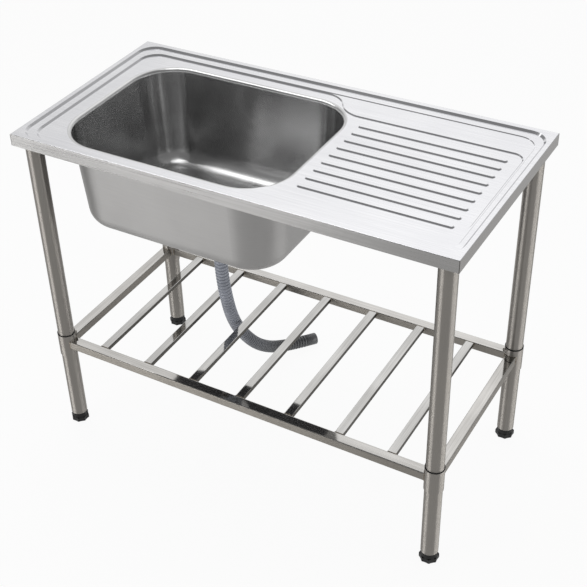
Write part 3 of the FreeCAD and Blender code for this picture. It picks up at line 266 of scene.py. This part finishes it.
# Bowl: the same sheet, deep-drawn.  Its inside was brushed round the walls with a flap wheel,
# so the gloss runs up and down them in streaks; its outside is as drawn, duller and softer.
bowlLook = {
    "bright": "#cccccc", "dull": "#bababa", "rough": (0.20, 0.25), "line": (0.060, 0.060, 0.0025),
    "smears": 9.0, "patchy": 1.1, "bump": 0.002, "stretch": 0.85,
}
bowlOutsideLook = dict(bowlLook, bright="#9c9b9a", dull="#939291", rough=(0.50, 0.58), stretch=0.6)
# The outside faces away from a point over the middle of the bowl.
bowlSides = {"middle": (-0.1655, -0.014, 0.85), "undersideFrom": -0.85}


def makeBowlSteel(inside, outside, sides):
    material, tree, shader = newMaterial("drawnStainlessBowl", {
        "Metallic": 1.0, "Anisotropic": inside["stretch"]})
    place = brushSteel(tree, shader, inside)
    back = addNode(tree, "ShaderNodeBsdfPrincipled", {
        "Metallic": 1.0, "Anisotropic": outside["stretch"]})
    brushSteel(tree, back, outside)
    # The gloss spreads up and down the walls: square to the way round the bowl.
    outward = addNode(tree, "ShaderNodeVectorMath", {"operation": "SUBTRACT", 1: sides["middle"]},
                      {0: place})
    around = addNode(tree, "ShaderNodeVectorMath", {"operation": "CROSS_PRODUCT", 0: (0, 0, 1)},
                     {1: outward.outputs[0]})
    normal = addNode(tree, "ShaderNodeNewGeometry").outputs["Normal"]
    across = addNode(tree, "ShaderNodeVectorMath", {"operation": "CROSS_PRODUCT"},
                     {0: normal, 1: around.outputs[0]})
    for steel in (shader, back):
        tree.links.new(across.outputs[0], steel.inputs["Tangent"])
    away = addNode(tree, "ShaderNodeVectorMath", {"operation": "DOT_PRODUCT"}, {
        0: normal, 1: outward.outputs[0]})
    onOutside = addNode(tree, "ShaderNodeMath", {"operation": "GREATER_THAN", 1: 0.0},
                        {0: away.outputs["Value"]})
    coverWhere(tree, back, onOutside.outputs[0])
    # Painted shade: the bowl's underside is covered dark.
    onUnderside = addNode(tree, "ShaderNodeMath", {
        "operation": "LESS_THAN", 1: sides["undersideFrom"]}, {0: facingAlong(tree, "Z")})
    paintUndersideShade(tree, place, undersideShadeLook, onUnderside.outputs[0])
    return material


# Legs and sleeves: drawn stainless tube, ground round and round, so its gloss runs up and
# down in long streaks.  Rails and slats: stainless box tube, polished on top along its length,
# the slats almost to a mirror; their sides are rougher, and warmer and darker as painted shade.
tubeLook = {
    "bright": "#a6a29d", "dull": "#9c9892", "rough": (0.46, 0.54), "line": (0.004, 0.004, 0.0022),
    "smears": 12.0, "bump": 0.005, "stretch": 1.0, "spread": (0, 0, 1),
}
railLook = {
    "bright": "#bdbbb8", "dull": "#a19f9c", "rough": (0.05, 0.09), "line": (0.16, 0.0022, 0.0022),
    "smears": 10.0, "bump": 0.005, "stretch": 0.4, "spread": (0, 1, 1),
}
sideRailLook = dict(railLook, line=(0.0022, 0.16, 0.0022), spread=(1, 0, 1))
slatLook = dict(sideRailLook, bright="#b8b7b5", dull="#9d9c9a", rough=(0.03, 0.06), stretch=0.2)
shadedFlankLook = dict(tubeLook, bright="#8d8983", dull="#7c7872", rough=(0.40, 0.50), stretch=0.9)
shadedSlatFlankLook = dict(shadedFlankLook, bright="#625f5a", dull="#4f4c48")
flankBelow = 0.6  # a face that looks up by less than this is a side


def makeTubeSteel(name, look):
    material, tree, shader = newMaterial(name, {"Metallic": 1.0, "Anisotropic": look["stretch"]})
    brushSteel(tree, shader, look)
    spreadGloss(tree, shader, look["spread"])
    return material


def makeBarSteel(name, look, shadedFlank):
    material = makeTubeSteel(name, look)
    tree = material.node_tree
    # The sides get a darker colour: painted shade.
    side = addNode(tree, "ShaderNodeBsdfPrincipled", {"Metallic": 1.0, "Anisotropic": shadedFlank["stretch"]})
    brushSteel(tree, side, shadedFlank)
    spreadGloss(tree, side, shadedFlank["spread"])
    onSide = addNode(tree, "ShaderNodeMath", {"operation": "LESS_THAN", 1: flankBelow},
                     {0: facingAlong(tree, "Z")})
    coverWhere(tree, side, onSide.outputs[0])
    return material


# Drain and strainer: turned and buffed stainless.  Screws and clamp: zinc-plated steel.
# Brackets and channel: galvanised sheet, dull grey with faint spangle.
drainLook = {
    "bright": "#b6b6b6", "dull": "#a2a2a2", "rough": (0.16, 0.26), "line": (0.02, 0.02, 0.002),
    "smears": 20.0, "bump": 0.03,
}
screwLook = {
    "bright": "#b9b6b0", "dull": "#9b978f", "rough": (0.18, 0.30), "line": (0.002, 0.002, 0.002),
    "smears": 60.0, "bump": 0.02,
}
galvanisedLook = {
    "bright": "#9ea2a5", "dull": "#83878a", "rough": (0.38, 0.52), "line": (0.012, 0.012, 0.012),
    "smears": 30.0, "bump": 0.02,
}


def makePlainSteel(name, look):
    material, tree, shader = newMaterial(name, {"Metallic": 1.0})
    brushSteel(tree, shader, look)
    return material


# Moulded and extruded plastics and rubber: a soft sheen over a fine mould grain, and faint
# clouds in the colour.
nylonLook = {
    "light": "#191919", "dark": "#0e0e0e", "rough": (0.45, 0.60), "grain": 0.0012, "bump": 0.15,
    "IOR": 1.53, "shine": 0.25,
}
rubberLook = {
    "light": "#1e1e1e", "dark": "#101010", "rough": (0.55, 0.70), "grain": 0.001, "bump": 0.15,
    "IOR": 1.52, "shine": 0.3,
}
polypropyleneLook = {
    "light": "#8d9095", "dark": "#7b7e84", "rough": (0.35, 0.50), "grain": 0.0015, "bump": 0.08,
    "IOR": 1.49, "shine": 0.5,
}
plasticGrain = {"detail": 3.0, "clouds": 25.0, "cloudDetail": 2.0, "depth": 0.0002}


def mouldPlastic(tree, shader, look):
    place = addNode(tree, "ShaderNodeTexCoord").outputs["Object"]
    grain = addNode(tree, "ShaderNodeTexNoise", {
        "Scale": 1 / look["grain"], "Detail": plasticGrain["detail"]}, {"Vector": place})
    cloud = addNode(tree, "ShaderNodeTexNoise", {
        "Scale": plasticGrain["clouds"], "Detail": plasticGrain["cloudDetail"]}, {"Vector": place})
    tone = addNode(tree, "ShaderNodeValToRGB", {"stops": [
        (noiseLow, toLinear(look["dark"])), (noiseHigh, toLinear(look["light"]))]},
        {"Fac": cloud.outputs[0]})
    low, high = look["rough"]
    rough = addNode(tree, "ShaderNodeMapRange", {
        "From Min": noiseLow, "From Max": noiseHigh, "To Min": low, "To Max": high},
        {"Value": grain.outputs[0]})
    bump = addNode(tree, "ShaderNodeBump", {
        "Strength": look["bump"], "Distance": plasticGrain["depth"]}, {"Height": grain.outputs[0]})
    tree.links.new(tone.outputs[0], shader.inputs["Base Color"])
    tree.links.new(rough.outputs[0], shader.inputs["Roughness"])
    tree.links.new(bump.outputs[0], shader.inputs["Normal"])
    return place, tone


def makePlastic(name, look):
    material, tree, shader = newMaterial(name, {
        "IOR": look["IOR"], "Specular IOR Level": look["shine"]})
    mouldPlastic(tree, shader, look)
    return material


# Hose: extruded grey polyethylene; its colour darkens towards its lower end as painted shade.
hoseLook = {
    "light": "#a0a4ae", "dark": "#90949d", "rough": (0.34, 0.46), "grain": 0.012, "bump": 0.03,
    "IOR": 1.51, "shine": 0.5, "shadeTint": "#96948f", "shadeFrom": 0.26, "shadeTo": 0.06,
}


def makeHosePlastic(look):
    material, tree, shader = newMaterial("extrudedPolyethyleneHose", {
        "IOR": look["IOR"], "Specular IOR Level": look["shine"]})
    place, tone = mouldPlastic(tree, shader, look)
    # Painted shade: the colour darkens towards the floor.
    height = addNode(tree, "ShaderNodeSeparateXYZ", links={"Vector": place}).outputs["Z"]
    lowness = addNode(tree, "ShaderNodeMapRange", {
        "From Min": look["shadeFrom"], "From Max": look["shadeTo"]}, {"Value": height})
    shaded = addNode(tree, "ShaderNodeMix", {
        "data_type": "RGBA", "blend_type": "MULTIPLY", 7: toLinear(look["shadeTint"])},
        {0: lowness.outputs[0], 6: tone.outputs[0]})
    tree.links.new(shaded.outputs[2], shader.inputs["Base Color"])
    return material


# Foot: moulded nylon on an M12 zinc-plated stem, whose thread turns show when it is let out.
# The stem starts at this height over the floor, with the foot at rest.
footSettings = {"stemFrom": 0.0212, "threadPitch": 0.00175, "threadDepth": 0.0009}


def makeFootMaterial(look, settings):
    material, tree, shader = newMaterial("nylonFoot", {
        "IOR": look["IOR"], "Specular IOR Level": look["shine"]})
    place, _ = mouldPlastic(tree, shader, look)
    stem = addNode(tree, "ShaderNodeBsdfPrincipled", {"Metallic": 1.0})
    brushSteel(tree, stem, screwLook)
    height = addNode(tree, "ShaderNodeSeparateXYZ", links={"Vector": place}).outputs["Z"]
    halfTurn = settings["threadPitch"] / 2
    turns = addNode(tree, "ShaderNodeMath", {"operation": "PINGPONG", 1: halfTurn}, {0: height})
    share = addNode(tree, "ShaderNodeMath", {"operation": "DIVIDE", 1: halfTurn}, {0: turns.outputs[0]})
    thread = addNode(tree, "ShaderNodeBump", {"Strength": 1.0, "Distance": settings["threadDepth"]},
                     {"Height": share.outputs[0]})
    tree.links.new(thread.outputs[0], stem.inputs["Normal"])
    onStem = addNode(tree, "ShaderNodeMath", {"operation": "GREATER_THAN", 1: settings["stemFrom"]},
                     {0: height})
    coverWhere(tree, stem, onStem.outputs[0])
    return material


# Weld beads: TIG welds with their ripples, straw and brown from the heat.
weldLook = {
    "bright": "#a39a8c", "dull": "#5d5348", "rough": (0.30, 0.45), "line": (0.004, 0.004, 0.004),
    "smears": 90.0, "patchy": 1.2, "bump": 0.02,
}

finishes = {
    "worktopSteel": makeWorktopSteel(worktopLook, shadedSkirtLook, shadedEndSkirtLook, seamLook, worktopFolds),
    "bowlSteel": makeBowlSteel(bowlLook, bowlOutsideLook, bowlSides),
    "tubeSteel": makeTubeSteel("groundStainlessTube", tubeLook),
    "railSteel": makeBarSteel("polishedStainlessRail", railLook, shadedFlankLook),
    "sideRailSteel": makeBarSteel("polishedStainlessSideRail", sideRailLook, shadedFlankLook),
    "slatSteel": makeBarSteel("mirrorStainlessSlat", slatLook, shadedSlatFlankLook),
    "drainSteel": makePlainSteel("turnedStainlessDrain", drainLook),
    "screwSteel": makePlainSteel("zincPlatedScrew", screwLook),
    "bracketSteel": makePlainSteel("galvanisedSheet", galvanisedLook),
    "weldSteel": makePlainSteel("heatTintedWeld", weldLook),
    "nylon": makePlastic("mouldedNylon", nylonLook),
    "foot": makeFootMaterial(nylonLook, footSettings),
    "rubber": makePlastic("mouldedRubber", rubberLook),
    "polypropylene": makePlastic("mouldedPolypropylene", polypropyleneLook),
    "hose": makeHosePlastic(hoseLook),
}
print("materials made:", len(finishes))

# A node takes the finish of the longest name here that its own name starts with.
finishOfNode = {
    "worktop": "worktopSteel", "sink_bowl": "bowlSteel", "drainer_stiffener": "bracketSteel",
    "corner_bracket": "bracketSteel", "leg_": "tubeSteel", "leg_screws": "screwSteel",
    "foot_": "foot", "foot_insert": "nylon", "shelf_front_rail": "railSteel",
    "shelf_back_rail": "railSteel", "shelf_left_rail": "sideRailSteel",
    "shelf_right_rail": "sideRailSteel", "shelf_slat": "slatSteel", "shelf_sleeve": "tubeSteel",
    "sleeve_rings": "rubber", "sleeve_grub_screws": "screwSteel", "drain_cup": "drainSteel",
    "drain_seal": "rubber", "drain_locknut": "polypropylene", "outlet_washer": "rubber",
    "hose_adaptor": "polypropylene", "slip_nut": "polypropylene", "hose_clamp": "screwSteel",
    "drain_hose": "hose", "strainer_basket": "drainSteel", "strainer_stopper": "rubber",
}


def dressNodes():
    for name, thing in nodes.items():
        family = max((key for key in finishOfNode if name.startswith(key)), key=len)
        thing.data.materials.clear()
        thing.data.materials.append(finishes[finishOfNode[family]])


dressNodes()
print("CAD nodes dressed:", len(nodes))


# Drain hose: a ribbed tube on the route's own smooth line, in metres.
hoseSettings = {
    "route": [
        (-0.165, 0, 0.470), (-0.165, 0, 0.405), (-0.158, 0.002, 0.332), (-0.158, 0.020, 0.262),
        (-0.161, 0.055, 0.195), (-0.152, 0.100, 0.128), (-0.148, 0.150, 0.080),
        (-0.146, 0.203, 0.042), (-0.126, 0.258, 0.020), (-0.092, 0.308, 0.0155),
    ],
    "length": 0.618,
    "crest": 0.0155,
    "root": 0.0126,
    "cuff": 0.015,
    "cuffLength": 0.031,
    "cuffEdge": 0.0006,
    "bore": 0.0115,
    "boreSteps": 60,
    "ribs": 66,
    "ribShape": [(0.04, 0.0), (0.16, 0.30), (0.24, 0.80), (0.36, 1.0),
                 (0.64, 1.0), (0.76, 0.80), (0.84, 0.30), (0.96, 0.0)],
    "sides": 40,
    "stepsPerPoint": 40,
}


# Points along the smooth line, read from the route's spline.
def hoseLine(route, steps):
    curve = bpy.data.curves.new("hoseLine", "CURVE")
    curve.dimensions = "3D"
    curve.resolution_u = steps
    spline = curve.splines.new("NURBS")
    spline.points.add(len(route) - 1)
    for point, spot in zip(spline.points, route):
        point.co = (*spot, 1)
    spline.order_u = 3
    spline.use_endpoint_u = True
    carrier = bpy.data.objects.new("hoseLine", curve)
    bpy.context.scene.collection.objects.link(carrier)
    shown = carrier.evaluated_get(bpy.context.evaluated_depsgraph_get())
    mesh = bpy.data.meshes.new_from_object(shown)
    line = [vertex.co.copy() for vertex in mesh.vertices]
    bpy.data.objects.remove(carrier)
    return line


# Centre, side and up vectors at each distance, carried along without twist.
def stationsAlong(line, distances):
    reach = [0.0]
    for a, b in zip(line, line[1:]):
        reach.append(reach[-1] + (b - a).length)
    side = Vector((1, 0, 0))
    found = []
    k = 0
    for distance in distances:
        while k < len(line) - 2 and reach[k + 1] < distance:
            k += 1
        span = reach[k + 1] - reach[k]
        centre = line[k].lerp(line[k + 1], (distance - reach[k]) / span)
        heading = (line[min(k + 2, len(line) - 1)] - line[max(k - 1, 0)]).normalized()
        side = (side - heading * side.dot(heading)).normalized()
        found.append((centre, side.copy(), heading.cross(side)))
    return found


# A ring of points round a station of the line.
def layRing(mesh, station, radius, sides):
    centre, side, up = station
    turns = [2 * math.pi * k / sides for k in range(sides)]
    return [mesh.verts.new(centre + (side * math.cos(turn) + up * math.sin(turn)) * radius)
            for turn in turns]


# Smooth faces from each ring to the one that it is paired with.
def joinRings(mesh, pairs):
    for near, far in pairs:
        for k in range(len(near)):
            follower = (k + 1) % len(near)
            mesh.faces.new((near[k], near[follower], far[follower], far[k])).smooth = True


def finishPiece(mesh, name, finish):
    bmesh.ops.recalc_face_normals(mesh, faces=mesh.faces)
    data = bpy.data.meshes.new(name)
    mesh.to_mesh(data)
    mesh.free()
    data.materials.append(finishes[finish])
    piece = bpy.data.objects.new(name, data)
    bpy.context.scene.collection.objects.link(piece)
    return piece


# Distance and radius of each ring: plain cuff, rounded ribs, plain cuff.
def hoseProfile(settings, total):
    cuff, plain, edge = settings["cuff"], settings["cuffLength"], settings["cuffEdge"]
    root = settings["root"]
    rings = [(0.0, cuff - edge), (edge, cuff), (plain - edge, cuff), (plain, root)]
    pitch = (total - 2 * plain) / settings["ribs"]
    rise = settings["crest"] - root
    for rib in range(settings["ribs"]):
        start = plain + rib * pitch
        rings += [(start + share * pitch, root + rise * high) for share, high in settings["ribShape"]]
    rings += [(total - plain, root), (total - plain + edge, cuff)]
    rings += [(total - edge, cuff), (total, cuff - edge)]
    return rings


def makeHose(settings):
    line = hoseLine(settings["route"], settings["stepsPerPoint"])
    total = sum((b - a).length for a, b in zip(line, line[1:]))
    outer = hoseProfile(settings, total)
    steps = settings["boreSteps"]
    bore = [(total * (1 - k / steps), settings["bore"]) for k in range(steps + 1)]
    # The rings run down the outside and back up the bore, and the last one joins the first.
    stations = stationsAlong(line, [distance for distance, _ in outer])
    stations += stationsAlong(line, [distance for distance, _ in reversed(bore)])[::-1]
    mesh = bmesh.new()
    rings = [layRing(mesh, station, radius, settings["sides"])
             for station, (_, radius) in zip(stations, outer + bore)]
    joinRings(mesh, zip(rings, rings[1:] + rings[:1]))
    hose = finishPiece(mesh, "drainHose", "hose")
    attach(hose, "unit")
    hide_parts("drain_hose")
    print("hose made:", round(total, 4), "m")


makeHose(hoseSettings)


# Weld beads of the shelf: across the top and down both sides at each slat's ends, and round
# each sleeve where a rail meets it.  They stand on the solids' own boxes.
weldSettings = {
    "bead": 0.0011,  # radius
    "outset": 0.3,  # share of the radius that its middle stands clear of the joint
    "tip": 0.25,  # share of the radius that its ends start at
    "ripple": 0.0016,
    "rippleDepth": 0.14,
    "step": 0.0004,
    "easePasses": 4,
    "sides": 8,
    "sink": 0.0007,  # its middle lies this far under the top of the rails and slats
    "sleeveWall": 0.0018,
    "sleeveReach": 0.94,  # share of the rail's width that it follows the sleeve for
    "sleeveSteps": 6,
    "railFoot": 0.001,
    "railShoulder": 0.002,
    "corners": ("front_left", "front_right", "back_right", "back_left"),
}


def slatWeldPaths(settings):
    sink, bead = settings["sink"], settings["bead"]
    outset = bead * settings["outset"]
    paths = []
    for name in sorted(nodes):
        if name.startswith("shelf_slat"):
            (left, front, low), (right, back, top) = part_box(name)
            for end in (front + outset, back - outset):
                paths.append([Vector((x, end, z)) for x, z in (
                    (left, low + bead), (left, top - bead), (left + bead, top - sink),
                    (right - bead, top - sink), (right, top - bead), (right, low + bead))])
    return paths


def railWeldPaths(settings):
    (_, front, low), (_, back, top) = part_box("shelf_front_rail")
    half = (back - front) / 2
    foot, shoulder = low + settings["railFoot"], top - settings["railShoulder"]
    steps = settings["sleeveSteps"]
    paths = []
    for corner in settings["corners"]:
        start, end = (Vector(spot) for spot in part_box("leg_" + corner))
        middle = (start + end) / 2
        sleeve = (end.x - start.x) / 2 + settings["sleeveWall"] + settings["bead"] * settings["outset"]
        run = math.sqrt(sleeve ** 2 - half ** 2)
        widest = math.asin(half / sleeve) * settings["sleeveReach"]
        turns = [widest * k / steps for k in range(-steps, steps + 1)]
        inward = [Vector((-math.copysign(1, middle.x), 0, 0)),
                  Vector((0, -math.copysign(1, middle.y), 0))]
        for along, aside in (inward, inward[::-1]):
            places = [(run, -half, foot), (run, -half, shoulder)]
            places += [(sleeve * math.cos(turn), sleeve * math.sin(turn), top - settings["sink"])
                       for turn in turns]
            places += [(run, half, shoulder), (run, half, foot)]
            paths.append([Vector((middle.x, middle.y, 0)) + along * a + aside * b + Vector((0, 0, z))
                          for a, b, z in places])
    return paths


# Evenly spaced points along a bent path, with its corners eased.
def easePath(path, step, passes):
    line = [path[0]]
    for a, b in zip(path, path[1:]):
        count = max(1, round((b - a).length / step))
        line += [a.lerp(b, (k + 1) / count) for k in range(count)]
    for _ in range(passes):
        line = [line[0]] + [(a + b + c) / 3 for a, b, c in zip(line, line[1:], line[2:])] + [line[-1]]
    return line


# One bead with its ripples, thinner at both ends.
def layBead(mesh, path, settings):
    line = easePath(path, settings["step"], settings["easePasses"])
    total = sum((b - a).length for a, b in zip(line, line[1:]))
    count = int(total / settings["step"])
    distances = [total * k / count for k in range(count + 1)]
    rings = []
    for distance, station in zip(distances, stationsAlong(line, distances)):
        toEnd = min(distance, total - distance) / settings["bead"]
        swell = 1 + settings["rippleDepth"] * math.sin(2 * math.pi * distance / settings["ripple"])
        radius = settings["bead"] * swell * min(1.0, settings["tip"] + math.sqrt(max(toEnd, 0.0)))
        rings.append(layRing(mesh, station, radius, settings["sides"]))
    joinRings(mesh, zip(rings, rings[1:]))
    mesh.faces.new(rings[0][::-1])
    mesh.faces.new(rings[-1])


def makeWelds(settings):
    mesh = bmesh.new()
    paths = slatWeldPaths(settings) + railWeldPaths(settings)
    for path in paths:
        layBead(mesh, path, settings)
    welds = finishPiece(mesh, "shelfWelds", "weldSteel")
    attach(welds, "shelf")
    print("weld beads laid:", len(paths))


makeWelds(weldSettings)


# Studio: a pale floor and a pale low horizon under a dim sky, with one bright soft window high
# behind the unit's left end, which the flat tops mirror.  A low softbox at the front left and
# one at the right draw the two light bands down the tubes, and one overhead lights the bends.
studioSettings = {
    "floor": "#ececec",
    "floorSize": 30,
    "floorGlow": 0.94,
    "horizon": (0.20, 0.30),
    "windowToward": (-0.25, 0.70, 0.67),
    "sky": [(0.0, 0.26), (0.60, 0.26), (0.84, 0.34), (0.95, 0.90), (1.0, 1.42)],
    "lamps": {
        "overhead": {"place": (-1.0, 0.2, 2.8), "size": (0.9, 1.6), "power": 14},
        "frontLeft": {"place": (-1.9, -2.9, 0.4), "size": (2.0, 1.0), "power": 46},
        "right": {"place": (2.5, 0.35, 0.4), "size": (2.2, 1.0), "power": 24},
    },
    "lampsAim": (0, 0, 0.6),
}


# 1 for what the camera sees straight, mirrored or through glass.
def seenRays(tree):
    ray = addNode(tree, "ShaderNodeLightPath")
    seen = addNode(tree, "ShaderNodeMath", {"operation": "MAXIMUM"}, {
        0: ray.outputs["Is Camera Ray"], 1: ray.outputs["Is Glossy Ray"]})
    return addNode(tree, "ShaderNodeMath", {"operation": "MAXIMUM"}, {
        0: seen.outputs[0], 1: ray.outputs["Is Transmission Ray"]}).outputs[0]


def makeFloor(settings):
    size = settings["floorSize"] / 2
    data = bpy.data.meshes.new("studioFloor")
    corners = [(-size, -size, 0), (size, -size, 0), (size, size, 0), (-size, size, 0)]
    data.from_pydata(corners, [], [(0, 1, 2, 3)])
    floor = bpy.data.objects.new("studioFloor", data)
    bpy.context.scene.collection.objects.link(floor)
    material, tree, shader = newMaterial("studioPaper", {
        "Base Color": toLinear(settings["floor"]), "Roughness": 0.9, "Specular IOR Level": 0.1})
    # The camera, gloss and glass see it as mostly white, and still see the shadow on it.
    white = addNode(tree, "ShaderNodeEmission", {"Strength": 1.0})
    share = addNode(tree, "ShaderNodeMath", {"operation": "MULTIPLY", 1: settings["floorGlow"]},
                    {0: seenRays(tree)})
    coverWhere(tree, white, share.outputs[0])
    data.materials.append(material)


def hangLight(name, settings, target):
    data = bpy.data.lights.new(name, "AREA")
    data.shape = "RECTANGLE"
    data.size, data.size_y = settings["size"]
    data.energy = settings["power"]
    light = bpy.data.objects.new(name, data)
    light.location = settings["place"]
    aim = Vector(target) - Vector(settings["place"])
    light.rotation_euler = aim.to_track_quat("-Z", "Y").to_euler()
    bpy.context.scene.collection.objects.link(light)


def lightStudio(settings):
    world = bpy.data.worlds.new("studioSky")
    bpy.context.scene.world = world
    world.use_nodes = True
    tree = world.node_tree
    tree.nodes.clear()
    heading = addNode(tree, "ShaderNodeTexCoord").outputs["Generated"]
    toward = tuple(Vector(settings["windowToward"]).normalized())
    facing = addNode(tree, "ShaderNodeVectorMath", {"operation": "DOT_PRODUCT", 1: toward},
                     {0: heading})
    share = addNode(tree, "ShaderNodeMapRange", {"From Min": -1.0, "From Max": 1.0},
                    {"Value": facing.outputs["Value"]})
    stops = [(spot, (level, level, level, 1)) for spot, level in settings["sky"]]
    glow = addNode(tree, "ShaderNodeValToRGB", {"stops": stops}, {"Fac": share.outputs[0]})
    # Low down, the camera, gloss and glass see the paper's white carry on past the floor.
    height = addNode(tree, "ShaderNodeSeparateXYZ", links={"Vector": heading}).outputs["Z"]
    top, fade = settings["horizon"]
    low = addNode(tree, "ShaderNodeMapRange", {"From Min": fade, "From Max": top}, {"Value": height})
    pale = addNode(tree, "ShaderNodeMath", {"operation": "MULTIPLY"}, {
        0: low.outputs[0], 1: seenRays(tree)})
    both = addNode(tree, "ShaderNodeMix", {"data_type": "RGBA", 7: toLinear("#ffffff")},
                   {0: pale.outputs[0], 6: glow.outputs[0]})
    sky = addNode(tree, "ShaderNodeBackground", {"Strength": 1.0}, {"Color": both.outputs[2]})
    addNode(tree, "ShaderNodeOutputWorld", links={"Surface": sky.outputs[0]})
    for name, lamp in settings["lamps"].items():
        hangLight(name, lamp, settings["lampsAim"])


makeFloor(studioSettings)
lightStudio(studioSettings)
print("studio lit")

bpy.context.scene.view_settings.view_transform = "Standard"
